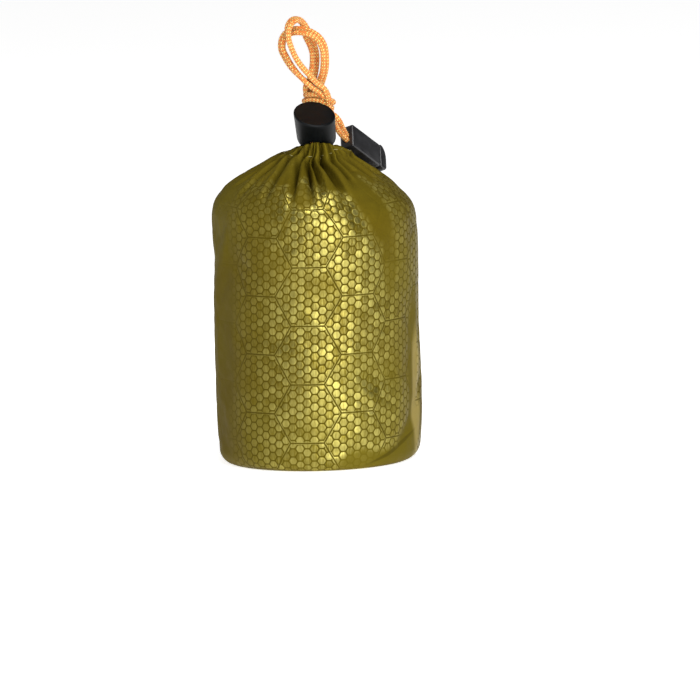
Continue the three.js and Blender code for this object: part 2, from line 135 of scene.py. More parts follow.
SECTION = (
    Ring(0, 0.5 * BASE_FLAT_RADIUS, 0.5 * BASE_FLAT_RADIUS),
    Ring(0, BASE_FLAT_RADIUS, BASE_FLAT_RADIUS),
    Ring(0.9, SACK_RADIUS - 1.9, SACK_RADIUS - 1.9, 0.1),
    Ring(3.6, SACK_RADIUS - 0.4, SACK_RADIUS - 0.4, 0.1),
    Ring(9, SACK_RADIUS, SACK_RADIUS),
    Ring(25, SACK_RADIUS + 0.4, SACK_RADIUS + 0.4),
    Ring(50, SACK_RADIUS + 0.1, SACK_RADIUS + 0.1, -0.2),
    Ring(75, SACK_RADIUS + 0.3, SACK_RADIUS + 0.3, 0.1),
    Ring(SHOULDER - 9.8, SACK_RADIUS + 0.2, SACK_RADIUS + 0.2, 0.2),
    Ring(SHOULDER - 3.8, SACK_RADIUS - 0.3, SACK_RADIUS - 0.3, -0.2, 0, 0.05),
    Ring(SHOULDER, 35.8, 35.8, -0.8, 0, 0.15, 0.1),
    Ring(SHOULDER + 2.9, 33.5, 33.5, -1.2, 0, 0.2, 0.25),
    Ring(SHOULDER + 5.8, 30.8, 30.8, -1.3, 0, 0.25, 0.4),
    Ring(SHOULDER + 9.4, 25.3, 25.3, -1.0, 0, 0.3, 0.6),
    Ring(SHOULDER + 11.7, 20.5, 20.5, -0.4, -0.4, 0.35, 0.8),
    Ring(SHOULDER + 13.8, 15.7, 15.7, 0.2, -0.9, 0.4, 0.9),
    Ring(SHOULDER + 15.6, 12.6, 12.4, 1.4, -1.6, 0.5, 0.95),
    Ring(STITCH - 0.6, 11.9, 11.4, 1.8, -2.4, 0.65, 0.7, 0.1),
    Ring(STITCH, 11.3, 10.8, 2.0, -2.9, 0.75, 0.3, 0.3),
    Ring(STITCH + 0.5, 10.9, 10.5, 2.1, -3.2, 0.6, 0.1, 0.6),
    Ring(STITCH + 1.5, 9.9, 10.1, 2.1, -3.7, 0.45, 0.05, 1.2),
    Ring(RIM - 0.5, 8.7, 9.3, 2.2, -4.1, 0.4, 0.1, 0.9 * RIM_FRONT_RISE),
    Ring(RIM, 8.0, 8.8, 2.2, -4.1, 0.4, 0.15, RIM_FRONT_RISE),
    Ring(RIM - 0.4, 7.3, 8.1, 2.2, -4.1, 0.35, 0.1, RIM_FRONT_RISE),
    Ring(RIM - 2.0, 6.6, 7.6, 2.1, -3.9, 0.2, 0, 0.9),
    Ring(RIM - 2.9, 5.0, 5.9, 1.9, -3.4, 0, 0, 0.3),
    Ring(RIM - 3.1, 2.4, 2.8, 1.7, -3.0),
)
# The rows of the section where the wall starts, the cloth's length is counted from, the shoulder starts
# and the stitches lie.
WALL_FOOT_ROW = 3
DATUM_ROW = 6
SHOULDER_ROW = 10
STITCH_ROW = 18


@dataclass(frozen=True)
class Pleat:
    """A gather: its angle from the front towards +X at the stitches, how far it has turned where it dies
    out, its depth and width at the stitches, and how far from the middle it reaches."""

    angle: float
    lean: float
    depth: float
    width: float
    reach: float


PLEATS = (
    Pleat(-13, 14, 3.4, 1.25, 39),
    Pleat(-2, 12, 2.8, 1.1, 35),
    Pleat(13, 11, 3.2, 1.8, 36),
    Pleat(27, 8, 2.0, 1.2, 30),
    Pleat(42, 5, 1.6, 1.4, 22),
    Pleat(57, 6, 1.8, 1.5, 30),
    Pleat(74, 5, 2.4, 1.7, 28),
    Pleat(94, -2, 2.8, 1.7, 33),
    Pleat(112, 4, 2.4, 1.5, 27),
    Pleat(131, -3, 3.0, 1.8, 34),
    Pleat(150, 2, 2.5, 1.5, 28),
    Pleat(167, 4, 2.9, 1.7, 35),
    Pleat(184, -2, 2.4, 1.5, 27),
    Pleat(201, 3, 3.1, 1.8, 33),
    Pleat(219, -4, 2.5, 1.5, 29),
    Pleat(237, 2, 2.9, 1.7, 35),
    Pleat(255, 4, 2.4, 1.6, 28),
    Pleat(272, -3, 2.8, 1.6, 33),
    Pleat(288, 4, 2.2, 1.5, 31),
    Pleat(302, 7, 2.7, 1.5, 35),
    Pleat(319, 11, 3.4, 1.5, 36),
    Pleat(334, 14, 3.2, 1.3, 38),
)


@dataclass(frozen=True)
class Hollow:
    """A soft hollow of the wall: where it is, its half-width and half-height, its depth and its lean."""

    angle: float
    z: float
    width: float
    height: float
    depth: float
    lean: float = 0.0


HOLLOWS = (
    Hollow(79, 1, 17, 9, 0.8, -0.6),
    Hollow(68, 17, 5, 12, 0.9, 0.9),
    Hollow(84, 62, 4, 30, 0.8),
    Hollow(-66, 89, 5, 14, 0.8, 0.25),
    Hollow(-28, 92, 9, 7, 0.7, 0.3),
    Hollow(32, 90, 8, 9, 0.8, -0.4),
    Hollow(-82, 34, 6, 24, 0.8, 0.1),
    Hollow(128, 55, 7, 34, 1.0, 0.1),
    Hollow(176, 30, 9, 20, 0.9, -0.3),
    Hollow(205, 78, 8, 22, 0.9, 0.2),
    Hollow(240, 48, 6, 28, 0.8, -0.2),
)

# The route of the doubled cord: a point on the middle of the pair, then the way across it from cord a
# to cord b. The stretches are those of the solids, and the ones through the knot join them. Only the
# first point lies further along, by 2 mm on the same line, where the lock hides the cords' ends.
NECK = (
    (1.3, -8.0, 120.15, 1, 0, 0),
    (1.3, -4.0, 122.5, 1, 0, 0),
    (1.3, 2.9, 126.5, 1, 0, 0),
    (1.5, 4.8, 127.9, 1, 0, 0),
    (2.1, 5.3, 129.4, 1, 0, 0),
    (2.4, 5.2, 130.1, 1, 0, 0),
)
UP_THROUGH_KNOT = (
    (3.6, 4.2, 132.3, 0.7, 0.5, 0.2),
    (4.4, 2.5, 134.3, 0.3, 0.9, 0.3),
    (4.5, 0.9, 136.2, 0, 1, 0.2),
)
OUTER_LOOP = (
    (3.2, 0.3, 137.5, 0, 1, 0),
    (0.6, 0.4, 139.5, 0, 1, 0),
    (-1.9, 0.5, 141.8, 0, 1, 0),
    (-4.0, 0.9, 143.9, -0.1, 1, -0.1),
    (-6.4, 1.6, 146.7, -0.2, 0.9, -0.2),
    (-8.6, 2.5, 150.3, -0.35, 0.9, -0.1),
    (-10.0, 3.2, 153.6, -0.35, 0.9, 0),
    (-9.7, 3.8, 156.8, -0.35, 0.9, 0.1),
    (-8.5, 4.1, 158.7, -0.3, 0.9, 0.3),
    (-6.2, 3.6, 160.0, -0.2, 0.85, 0.4),
    (-2.8, 1.4, 160.4, 0, 0.85, 0.5),
    (1.1, 0.1, 159.4, 0.2, 0.85, 0.4),
    (3.8, -0.2, 157.3, 0.35, 0.85, 0.3),
    (5.4, 0.2, 154.1, 0.45, 0.85, 0.1),
    (5.8, 1.1, 149.3, 0.5, 0.85, 0),
    (5.4, 2.5, 145.2, 0.5, 0.85, 0),
    (4.4, 4.1, 141.9, 0.6, 0.8, 0),
    (3.4, 5.2, 139.2, 0.6, 0.8, 0),
    (2.9, 5.4, 138.2, 0.6, 0.8, 0),
)
INTO_WRAP = (
    (2.9, 6.2, 136.7, 0.5, 0.75, 0.2),
    (2.4, 7.2, 135.4, 0.4, 0.3, 0.8),
)
OUT_OF_WRAP = (
    (5.4, 7.3, 132.6, 0.2, 0.1, 0.9),
    (2.9, 7.0, 133.3, 0.1, 0.4, 0.8),
    (0.8, 6.0, 134.5, 0.3, 0.6, 0.5),
    (-0.6, 5.0, 136.5, 0.6, 0.75, 0.1),
)
INNER_LOOP = (
    (-1.0, 4.5, 138.8, 0.6, 0.8, 0),
    (0.1, 4.8, 140.8, 0.65, 0.75, -0.2),
    (1.0, 4.9, 142.8, 0.7, 0.7, 0),
    (1.6, 5.0, 145.3, 0.7, 0.7, 0),
    (2.0, 5.1, 149.1, 0.7, 0.7, 0),
    (1.9, 5.2, 151.9, 0.7, 0.7, 0),
    (1.0, 5.5, 155.0, 0.6, 0.7, 0.3),
    (-0.4, 5.7, 158.0, 0.5, 0.7, 0.4),
    (-1.1, 6.3, 160.9, 0.3, 0.9, 0.2),
    (-2.6, 5.8, 163.3, 0, 0.9, 0.2),
    (-4.8, 3.6, 164.3, -0.5, 0.8, 0.1),
    (-6.9, 0.2, 162.8, -0.5, 0.8, -0.2),
    (-7.6, -1.0, 160.2, -0.2, 1, -0.2),
    (-7.3, -1.3, 157.2, 0, 1, 0),
    (-6.5, -1.2, 154.4, 0, 1, 0),
    (-4.9, -1.0, 150.5, 0, 1, 0),
    (-2.9, -0.6, 147.3, 0, 1, 0),
    (0.2, -0.1, 143.6, 0, 1, 0),
    (2.4, -0.1, 141.1, 0, 1, 0),
    (5.2, -0.2, 138.6, 0, 1, 0),
)
DOWN_THROUGH_KNOT = (
    (6.2, 0.4, 136.3, 0.2, 1, 0),
    (6.6, 1.6, 134.0, 0.3, 0.9, 0),
    (7.1, 2.8, 131.4, 0.3, 0.9, 0.2),
)
TAIL = (
    (8.0, 3.5, 128.6, -0.2, 0.9, 0.3),
    (8.8, 4.1, 127.0, 0.4, 0.75, 0.4),
    (9.9, 5.3, 124.9, 0.7, 0.5, 0.5),
    (11.2, 7.6, 121.9, 0.45, 0.55, 0.7),
    (13.0, 10.2, 119.2, 0, 0.64, 0.77),
    (14.7, 12.3, 117.55, 0, 0.64, 0.77),
)


@dataclass(frozen=True)
class Cloud:
    """A soft random pattern: its features to a unit, its octaves, and where it starts and is full."""

    scale: float
    detail: float
    low: float
    high: float


@dataclass(frozen=True)
class Grain:
    """A fine random relief: its features to a unit, its octaves, its height in metres and its strength."""

    scale: float
    detail: float
    distance: float
    strength: float = 1.0


class NodeBoard:
    """Builds a material's nodes, with each method returning the output that it makes."""

    def __init__(self, name: str) -> None:
        """Starts an empty material.

        Args:
            name: the material's name.
        """
        self.material = bpy.data.materials.new(name)
        self.material.use_nodes = True
        self.tree = self.material.node_tree
        self.shader = self.tree.nodes["Principled BSDF"]

    def node(self, kind: str, **settings: object) -> bpy.types.Node:
        """A new node with its settings.

        Args:
            kind: the node's type.
            settings: properties to set on it.

        Returns:
            The node.
        """
        made = self.tree.nodes.new(kind)
        for key, value in settings.items():
            setattr(made, key, value)
        return made

    def feed(self, socket: Socket, value: object) -> None:
        """Links or sets one input.

        Args:
            socket: the input.
            value: an output to link, or a plain value.
        """
        if isinstance(value, Socket):
            self.tree.links.new(value, socket)
        else:
            socket.default_value = value

    def math(self, operation: str, *values: object) -> Socket:
        """A Math node's value."""
        made = self.node("ShaderNodeMath", operation=operation)
        for socket, value in zip(made.inputs, values):
            self.feed(socket, value)
        return made.outputs[0]

    def times(self, first: object, *others: object) -> Socket:
        """The product of two or more numbers."""
        for value in others:
            first = self.math("MULTIPLY", first, value)
        return first

    def plus(self, first: object, second: object) -> Socket:
        """The sum of two numbers."""
        return self.math("ADD", first, second)

    def minus(self, first: object, second: object) -> Socket:
        """The difference of two numbers."""
        return self.math("SUBTRACT", first, second)

    def scaled(self, value: object, factor: object, offset: object) -> Socket:
        """A number times a factor, plus an offset."""
        return self.math("MULTIPLY_ADD", value, factor, offset)

    def lifted(self, value: object, least: float) -> Socket:
        """A number that is least where the value is 0, and 1 where it is 1."""
        return self.scaled(value, 1 - least, least)

    def vector(self, operation: str, *values: object) -> Socket:
        """A Vector Math node's result, which is a number for a length or a dot product."""
        made = self.node("ShaderNodeVectorMath", operation=operation)
        for socket, value in zip(made.inputs, values):
            self.feed(socket, value)
        number = operation in ("LENGTH", "DOT_PRODUCT")
        return made.outputs["Value" if number else "Vector"]

    def split(self, vector: object) -> tuple[Socket, ...]:
        """The X, Y and Z of a vector."""
        made = self.node("ShaderNodeSeparateXYZ")
        self.feed(made.inputs[0], vector)
        return tuple(made.outputs)

    def join(self, x: object, y: object, z: object = 0.0) -> Socket:
        """A vector of three numbers."""
        made = self.node("ShaderNodeCombineXYZ")
        for socket, value in zip(made.inputs, (x, y, z)):
            self.feed(socket, value)
        return made.outputs[0]

    def step(self, value: object, low: float, high: float) -> Socket:
        """A smooth step: 0 where value is at low and 1 where it is at high, the two in either order."""
        made = self.node("ShaderNodeMapRange", interpolation_type="SMOOTHSTEP")
        self.feed(made.inputs["Value"], value)
        made.inputs["From Min"].default_value = min(low, high)
        made.inputs["From Max"].default_value = max(low, high)
        made.inputs["To Min"].default_value = 0.0 if low < high else 1.0
        made.inputs["To Max"].default_value = 1.0 if low < high else 0.0
        return made.outputs["Result"]

    def noise(self, scale: float, detail: float, where: object) -> Socket:
        """A Noise Texture's factor.

        Args:
            scale: how many features there are in one unit of the coordinates.
            detail: how many octaves it has.
            where: the coordinates.

        Returns:
            The factor.
        """
        made = self.node("ShaderNodeTexNoise")
        self.feed(made.inputs["Vector"], where)
        made.inputs["Scale"].default_value = scale
        made.inputs["Detail"].default_value = detail
        return made.outputs["Fac"]

    def cloud(self, cloud: Cloud, where: object) -> Socket:
        """A soft random pattern from 0 to 1."""
        return self.step(self.noise(cloud.scale, cloud.detail, where), cloud.low, cloud.high)

    def grain(self, grain: Grain, where: object) -> Socket:
        """A fine random relief's normal."""
        return self.bump(self.noise(grain.scale, grain.detail, where), grain.distance, grain.strength)

    def random(self, where: object) -> Socket:
        """A white noise value for each different vector."""
        made = self.node("ShaderNodeTexWhiteNoise", noise_dimensions="3D")
        self.feed(made.inputs["Vector"], where)
        return made.outputs["Value"]

    def blend(self, factor: object, first: object, second: object) -> Socket:
        """A colour from first at 0 to second at 1."""
        made = self.node("ShaderNodeMix", data_type="RGBA")
        for index, value in ((0, factor), (6, first), (7, second)):
            self.feed(made.inputs[index], value)
        return made.outputs[2]

    def choose(self, factor: object, first: object, second: object) -> Socket:
        """A vector from first at 0 to second at 1."""
        made = self.node("ShaderNodeMix", data_type="VECTOR")
        for index, value in ((0, factor), (4, first), (5, second)):
            self.feed(made.inputs[index], value)
        return made.outputs[1]

    def bump(self, height: object, distance: float, strength: float = 1.0, under: object = None) -> Socket:
        """A Bump node's normal.

        Args:
            height: the height that it reads.
            distance: the real height of 1, in metres.
            strength: how much of it shows.
            under: another bump's normal that this one lies on.

        Returns:
            The normal.
        """
        made = self.node("ShaderNodeBump")
        self.feed(made.inputs["Height"], height)
        made.inputs["Distance"].default_value = distance
        made.inputs["Strength"].default_value = strength
        if under is not None:
            self.feed(made.inputs["Normal"], under)
        return made.outputs[0]

    def object_place(self) -> Socket:
        """Object coordinates."""
        return self.node("ShaderNodeTexCoord").outputs["Object"]

    def uv_mm(self, layer: str) -> Socket:
        """A piece's own UV map, in millimetres of its cloth or cord."""
        made = self.node("ShaderNodeUVMap", uv_map=layer)
        return self.vector("MULTIPLY", made.outputs[0], (UV_SPAN_MM, UV_SPAN_MM, 0.0))

    def finished(self, inputs: dict[str, object]) -> Material:
        """Feeds the shader's inputs by their names, and gives the material back."""
        for name, value in inputs.items():
            self.feed(self.shader.inputs[name], value)
        return self.material


HEX_HALF_WIDTH = math.sqrt(3) / 2
# A small step off a cell's edge, so that its middle snaps to one place all over the cell.
CELL_NUDGE = (0.1, 0.1, 0.0)


@dataclass(frozen=True)
class HexNet:
    """A net of flat-topped hexagons on the cloth: their size from flat to flat and one's middle, in mm, how
    round their corners are and how softly the rounding starts."""

    height: float
    origin: tuple[float, float]
    roundness: float = 0.0
    softness: float = 0.06

    def nodes(self, board: NodeBoard, place: object) -> tuple[Socket, ...]:
        """The net in a material.

        Args:
            board: the material that it goes in.
            place: the cloth's own coordinates, in millimetres.

        Returns:
            The distance to the nearest edge in millimetres, a vector that differs from cell to cell, and
            the place in the cell as a share of its size.
        """
        half = (HEX_HALF_WIDTH, 0.5, 0.5)
        least = tuple(-value for value in half)
        shrink = (1 / self.height, 1 / self.height, 0.0)
        local = board.vector("SUBTRACT", place, (self.origin[0], self.origin[1], 0.0))
        local = board.vector("MULTIPLY", local, shrink)
        level = (1.0, 1.0, 0.0)
        even = board.vector("MULTIPLY", board.vector("WRAP", local, half, least), level)
        moved = board.vector("SUBTRACT", local, half)
        odd = board.vector("MULTIPLY", board.vector("WRAP", moved, half, least), level)
        nearer = board.math("LESS_THAN", board.vector("LENGTH", odd), board.vector("LENGTH", even))
        inside = board.choose(nearer, even, odd)
        size = board.vector("ABSOLUTE", inside)
        up = board.split(size)[1]
        slope = board.vector("DOT_PRODUCT", size, (HEX_HALF_WIDTH, 0.5, 0.0))
        reach = board.math("MAXIMUM", up, slope)
        if self.roundness > 0:
            round_reach = board.minus(board.vector("LENGTH", inside), self.roundness)
            reach = board.math("SMOOTH_MAX", reach, round_reach, self.softness)
        edge = board.times(board.minus(0.5, reach), self.height)
        middle = board.vector("ADD", board.vector("SUBTRACT", local, inside), CELL_NUDGE)
        cell = board.vector("SNAP", middle, (HEX_HALF_WIDTH / 2, 0.25, 1.0))
        return edge, cell, inside

    def edge_distance(self, u: Array, v: Array) -> Array:
        """The distance to the nearest edge of the net.

        Args:
            u: places across the cloth, in millimetres.
            v: places up the cloth, in millimetres.

        Returns:
            The distances, in millimetres.
        """
        x = (u - self.origin[0]) / self.height
        y = (v - self.origin[1]) / self.height
        best = np.full_like(x, np.inf)
        least = np.full_like(x, np.inf)
        for shift in (0.0, 1.0):
            wide = 2 * HEX_HALF_WIDTH
            px = (x - shift * HEX_HALF_WIDTH + HEX_HALF_WIDTH) % wide - HEX_HALF_WIDTH
            py = (y - shift * 0.5 + 0.5) % 1 - 0.5
            reach = np.maximum(np.abs(py), np.abs(px) * HEX_HALF_WIDTH + np.abs(py) * 0.5)
            away = np.hypot(px, py)
            best = np.where(away < least, reach, best)
            least = np.minimum(away, least)
        return (0.5 - best) * self.height


@dataclass(frozen=True)
class SmoothPatch:
    """A place on the cloth where the emboss has been pulled smooth: its middle and half-size, in mm, how
    much of the emboss is gone there, and how far it moves across for each millimetre up."""

    u: float
    v: float
    wide: float
    high: float
    share: float = 1.0
    lean: float = 0.0


@dataclass(frozen=True)
class EdgeLine:
    """A dark line along a net's edges: how far from them it starts and is full, in mm, and its share."""

    start: float
    full: float
    share: float


@dataclass(frozen=True)
class FilmCloth:
    """Thin coated film cloth, olive gold, embossed with small hexagons and a larger net of them.

    Lengths are in millimetres of the cloth. A pair says where a change starts and where it is full.
    """

    big: HexNet = HexNet(21.75, (175.7, 127.4))
    small: HexNet = HexNet(21.75 / 7, (175.7, 128.5), 0.035)
    net_margin: float = 0.75
    patches: tuple[SmoothPatch, ...] = (
        SmoothPatch(122.0, 92.0, 25.0, 90.0),
        SmoothPatch(202.0, 145.0, 7.5, 26.0, 1.0, -0.2),
        SmoothPatch(209.5, 117.0, 4.0, 14.0, 0.8),
        SmoothPatch(174.5, 145.0, 5.5, 6.0, 0.85),
        SmoothPatch(168.0, 136.0, 1.3, 10.0, 0.6, 0.35),
        SmoothPatch(226.5, 52.0, 11.0, 9.0, 1.0, 0.9),
        SmoothPatch(213.0, 42.0, 14.0, 6.0),
        SmoothPatch(226.5, 72.0, 5.0, 34.0),
        SmoothPatch(196.0, 43.5, 9.0, 4.5, 0.9, 0.3),
        SmoothPatch(95.0, 60.0, 16.0, 40.0, 0.7),
    )
    patch_edge: tuple[float, float] = (1.25, 0.7)
    rubbed: Cloud = Cloud(38.0, 2.0, 0.32, 0.50)
    rubbed_least: float = 0.55
    gather_noise: float = 110.0
    gather_spread: float = 46.0
    gather_fade: tuple[float, float] = (178.0, 168.0)
    gold: Colour = (0.400, 0.352, 0.096, 1.0)
    olive: Colour = (0.128, 0.100, 0.0084, 1.0)
    brown: Colour = (0.102, 0.073, 0.0046, 1.0)
    # painted shade colour: it darkens the shaded flanks, the painted shadow low on the right and the
    # gathers' creases
    painted_shade: Colour = (0.030, 0.021, 0.0015, 1.0)
    groove: Colour = (0.050, 0.036, 0.0018, 1.0)
    # pale: the colour of the painted highlight strip on the right edge
    pale: Colour = (0.300, 0.235, 0.075, 1.0)
    edge_tint: Colour = (0.80, 0.66, 0.16, 1.0)
    olive_cloud: Cloud = Cloud(16.0, 3.0, 0.36, 0.66)
    # a painted highlight strip on the right edge, and a painted shadow under the fold low on the right
    painted_highlight_patch: SmoothPatch = SmoothPatch(230.0, 66.0, 4.5, 24.0, 0.7)
    painted_shadow_patch: SmoothPatch = SmoothPatch(213.0, 47.0, 2.2, 5.0, 0.45, 2.7)
    cell_line: EdgeLine = EdgeLine(0.36, 0.10, 0.68)
    net_line: EdgeLine = EdgeLine(0.48, 0.20, 0.85)
    # how much of the painted shade along the creases shows
    crease_shade_share: float = 0.95
    # painted shade on the flanks: where it starts and ends across the cloth, the share of the cells' gold
    # and metal left there, and how far the ground darkens
    painted_shade_left: tuple[float, float] = (150.0, 176.0)
    painted_shade_right: tuple[float, float] = (222.0, 198.0)
    painted_shade_cell_share: float = 0.18
    painted_flank_shade: float = 0.24
    pane_edge: tuple[float, float] = (0.12, 0.40)
    streak_scale: Point = (1.6, 0.25, 1.0)
    streaks: Cloud = Cloud(1.0, 2.0, 0.3, 0.7)
    streak_share: float = 0.45
    kind_share: float = 0.55
    second_draw: Point = (3.7, 1.9, 5.0)
    smooth_metal: float = 0.55
    rough: float = 0.66
    pane_gloss: float = 0.30
    rough_spread: float = 0.08
    specular: float = 0.12
    dome_reach: float = 0.7
    dome_height: float = 0.2
    seam_reach: float = 0.5
    seam_height: float = 0.12
    relief: float = 0.0003
    crumple: Grain = Grain(170.0, 4.0, 0.0005, 0.6)
    name: str = "film_cloth"
    layer: str = "cloth"
    # the vertex attribute that holds the painted shade along the creases
    crease_shade_layer: str = "crease_shade"

    def material(self) -> Material:
        """The cloth's material, with painted shade and painted highlights in its colour."""
        board = NodeBoard(self.name)
        place = board.uv_mm(self.layer)
        where = board.object_place()
        across, up, _ = board.split(place)
        net_edge, _, _ = self.big.nodes(board, place)
        edge, cell, inside = self.small.nodes(board, place)
        edge = board.math("MAXIMUM", edge, board.minus(self.net_margin, net_edge))
        kind = board.random(cell)
        turned = board.random(board.vector("ADD", cell, self.second_draw))
        # Painted light by the place across the cloth: 1 on the lit front, falling to 0 on the shaded flanks
        # and the back. bright turns it into painted shade for the cells' gold and metal.
        painted_front_light = board.times(board.step(across, *self.painted_shade_left), board.step(across, *self.painted_shade_right))
        bright = board.lifted(painted_front_light, self.painted_shade_cell_share)
        pressed = self.pressed(board, across, up, where)
        panes = [board.step(distance, *self.pane_edge) for distance in (edge, net_edge)]
        pane = board.times(*panes, pressed)
        streaks = board.cloud(self.streaks, board.vector("MULTIPLY", place, self.streak_scale))
        lively = board.scaled(streaks, self.streak_share, board.times(kind, self.kind_share))
        ground = board.blend(board.cloud(self.olive_cloud, where), self.brown, self.olive)
        # painted shade: the flanks and the back darkened towards the painted shade colour
        layers = [(board.scaled(painted_front_light, -self.painted_flank_shade, self.painted_flank_shade), self.painted_shade)]
        # painted highlight on the right edge's strip and painted shadow under the fold low on the right
        for patch, colour in ((self.painted_highlight_patch, self.pale), (self.painted_shadow_patch, self.painted_shade)):
            layers.append((board.minus(1.0, self.away_from(board, patch, across, up)), colour))
        for distance, line in ((edge, self.cell_line), (net_edge, self.net_line)):
            near = board.step(distance, line.start, line.full)
            layers.append((board.times(near, pressed, line.share), self.groove))
        # painted shade along the gathers' creases, from the attribute that mark_crease_shade stores
        crease_shade = board.node("ShaderNodeAttribute", attribute_name=self.crease_shade_layer).outputs["Fac"]
        layers.append((board.times(crease_shade, self.crease_shade_share), self.painted_shade))
        for share, colour in layers:
            ground = board.blend(share, ground, colour)
        smooth = board.times(board.minus(1.0, pressed), self.smooth_metal)
        rough = board.scaled(pane, -self.pane_gloss, self.rough)
        return board.finished({
            # bright dims the cells' gold and metal on the flanks as painted shade
            "Base Color": board.blend(board.times(pane, lively, bright), ground, self.gold),
            "Metallic": board.times(board.math("MAXIMUM", pane, smooth), bright),
            "Roughness": board.scaled(turned, self.rough_spread, rough),
            "Specular Tint": self.edge_tint,
            "Specular IOR Level": self.specular,
            "Normal": self.normal(board, (edge, net_edge), inside, (kind, turned), pressed, where),
        })

    def normal(
        self, board: NodeBoard, edges: tuple[Socket, Socket], inside: Socket,
        draws: tuple[Socket, Socket], pressed: Socket, where: Socket,
    ) -> Socket:
        """The emboss on crumpled film: low domes, each tilted its own way, and the larger net's seams.

        Args:
            board: the material that it goes in.
            edges: the distances to the edges of the small net and of the larger one.
            inside: the place in the small cell.
            draws: the cell's two random numbers.
            pressed: how much of the emboss is left.
            where: the object's coordinates.

        Returns:
            The normal.
        """
        tilts = [
            board.times(part, board.minus(draw, 0.5))
            for part, draw in zip(board.split(inside), draws)
        ]
        dome = board.times(board.step(edges[0], 0.0, self.dome_reach), self.dome_height)
        height = board.times(board.plus(dome, board.plus(*tilts)), pressed)
        seam = board.times(board.step(edges[1], 0.0, self.seam_reach), self.seam_height)
        return board.bump(board.plus(height, seam), self.relief, 1.0, board.grain(self.crumple, where))

    def pressed(self, board: NodeBoard, across: Socket, up: Socket, where: Socket) -> Socket:
        """How much of the emboss is left: less where it is rubbed or smooth, and none at the gathers.

        Args:
            board: the material that it goes in.
            across: the place across the cloth.
            up: the place up the cloth.
            where: the object's coordinates.

        Returns:
            A number from 0 to 1.
        """
        left = board.lifted(board.cloud(self.rubbed, where), self.rubbed_least)
        for patch in self.patches:
            left = board.times(left, self.away_from(board, patch, across, up))
        ragged = board.scaled(board.noise(self.gather_noise, 2.0, where), self.gather_spread, up)
        return board.times(left, board.step(ragged, *self.gather_fade))

    def away_from(self, board: NodeBoard, patch: SmoothPatch, across: Socket, up: Socket) -> Socket:
        """1 away from a smooth patch, and less inside it.

        Args:
            board: the material that it goes in.
            patch: the smooth patch.
            across: the place across the cloth.
            up: the place up the cloth.

        Returns:
            How much of the emboss is left.
        """
        rise = board.minus(up, patch.v)
        aside = board.minus(board.minus(across, patch.u), board.times(rise, patch.lean))
        x, y = board.times(aside, 1 / patch.wide), board.times(rise, 1 / patch.high)
        away = board.vector("LENGTH", board.join(x, y))
        return board.lifted(board.minus(1.0, board.step(away, *self.patch_edge)), 1 - patch.share)


@dataclass(frozen=True)
class BraidFinish:
    """Orange braid with pale reflective picks, and painted shade in the gaps between its strands."""

    carriers: int = 8
    lead: float = 9.6
    orange: Colour = (0.92, 0.27, 0.034, 1.0)
    # deep: painted shade colour of the gaps between the strands
    deep: Colour = (0.42, 0.075, 0.005, 1.0)
    pale: Colour = (1.0, 0.74, 0.22, 1.0)
    pale_picks: tuple[float, float] = (0.02, 0.20)
    gap_shade_edge: tuple[float, float] = (0.28, 0.0)
    thread_pitch: float = 30.0
    thread_relief: float = 0.00003
    thread_share: float = 0.7
    rough: float = 0.5
    rough_spread: float = 0.15
    sheen: float = 0.08
    name: str = "orange_braid"
    layer: str = "braid"

    def crossings(self, turn: Array, along: Array) -> Array:
        """How high the strands stand where they cross.

        Args:
            turn: the share of a turn round the cord.
            along: the place along the cord, in millimetres.

        Returns:
            A height from 0 in the gaps to 1 on a strand's crown.
        """
        first = self.carriers * (turn + along / self.lead) % 1
        second = self.carriers * (turn - along / self.lead) % 1
        return np.sqrt(np.sin(math.pi * first) * np.sin(math.pi * second))

    def material(self) -> Material:
        """The cord's material."""
        board = NodeBoard(self.name)
        around, along, _ = board.split(board.uv_mm(self.layer))
        turn = board.times(around, self.carriers / UV_SPAN_MM)
        climb = board.times(along, self.carriers / self.lead)
        one, other = board.plus(turn, climb), board.minus(turn, climb)
        strand, crossed = board.math("FLOOR", one), board.math("FLOOR", other)
        first, second = board.math("FRACT", one), board.math("FRACT", other)
        pick = board.random(board.join(strand, crossed))
        banded = board.math("PINGPONG", board.minus(strand, crossed), 1.0)
        crown = board.times(self.tent(board, first), self.tent(board, second))
        bright = board.times(banded, board.step(pick, *self.pale_picks))
        colour = board.blend(bright, self.orange, self.pale)
        threads = board.math("SINE", board.times(board.plus(first, second), self.thread_pitch))
        return board.finished({
            # painted shade: the gaps between the strands are darkened to the deep colour
            "Base Color": board.blend(board.step(crown, *self.gap_shade_edge), colour, self.deep),
            "Normal": board.bump(threads, self.thread_relief, self.thread_share),
            "Roughness": board.scaled(pick, self.rough_spread, self.rough),
            "Sheen Weight": self.sheen,
        })

    def tent(self, board: NodeBoard, value: object) -> Socket:
        """A number that is 0 at a strand's edges and 1 on its middle."""
        return board.minus(1.0, board.math("ABSOLUTE", board.scaled(value, 2.0, -1.0)))


@dataclass(frozen=True)
class MouldedPlastic:
    """Satin black moulded plastic with a faint grain."""

    black: Colour = (0.0080, 0.0080, 0.0090, 1.0)
    worn: Colour = (0.022, 0.022, 0.024, 1.0)
    roughness: float = 0.36
    specular: float = 0.5
    name: str = "moulded_plastic"
    wear: Cloud = Cloud(260.0, 4.0, 0.42, 0.75)
    rough_noise: tuple[float, float] = (520.0, 3.0)
    rough_spread: float = 0.16
    grain: Grain = Grain(2600.0, 2.0, 0.00002, 0.5)

    def material(self) -> Material:
        """The plastic's material."""
        board = NodeBoard(self.name)
        where = board.object_place()
        cloud = board.noise(*self.rough_noise, where)
        return board.finished({
            "Base Color": board.blend(board.cloud(self.wear, where), self.black, self.worn),
            "Roughness": board.scaled(cloud, self.rough_spread, self.roughness - self.rough_spread / 2),
            "Normal": board.grain(self.grain, where),
            "Specular IOR Level": self.specular,
        })


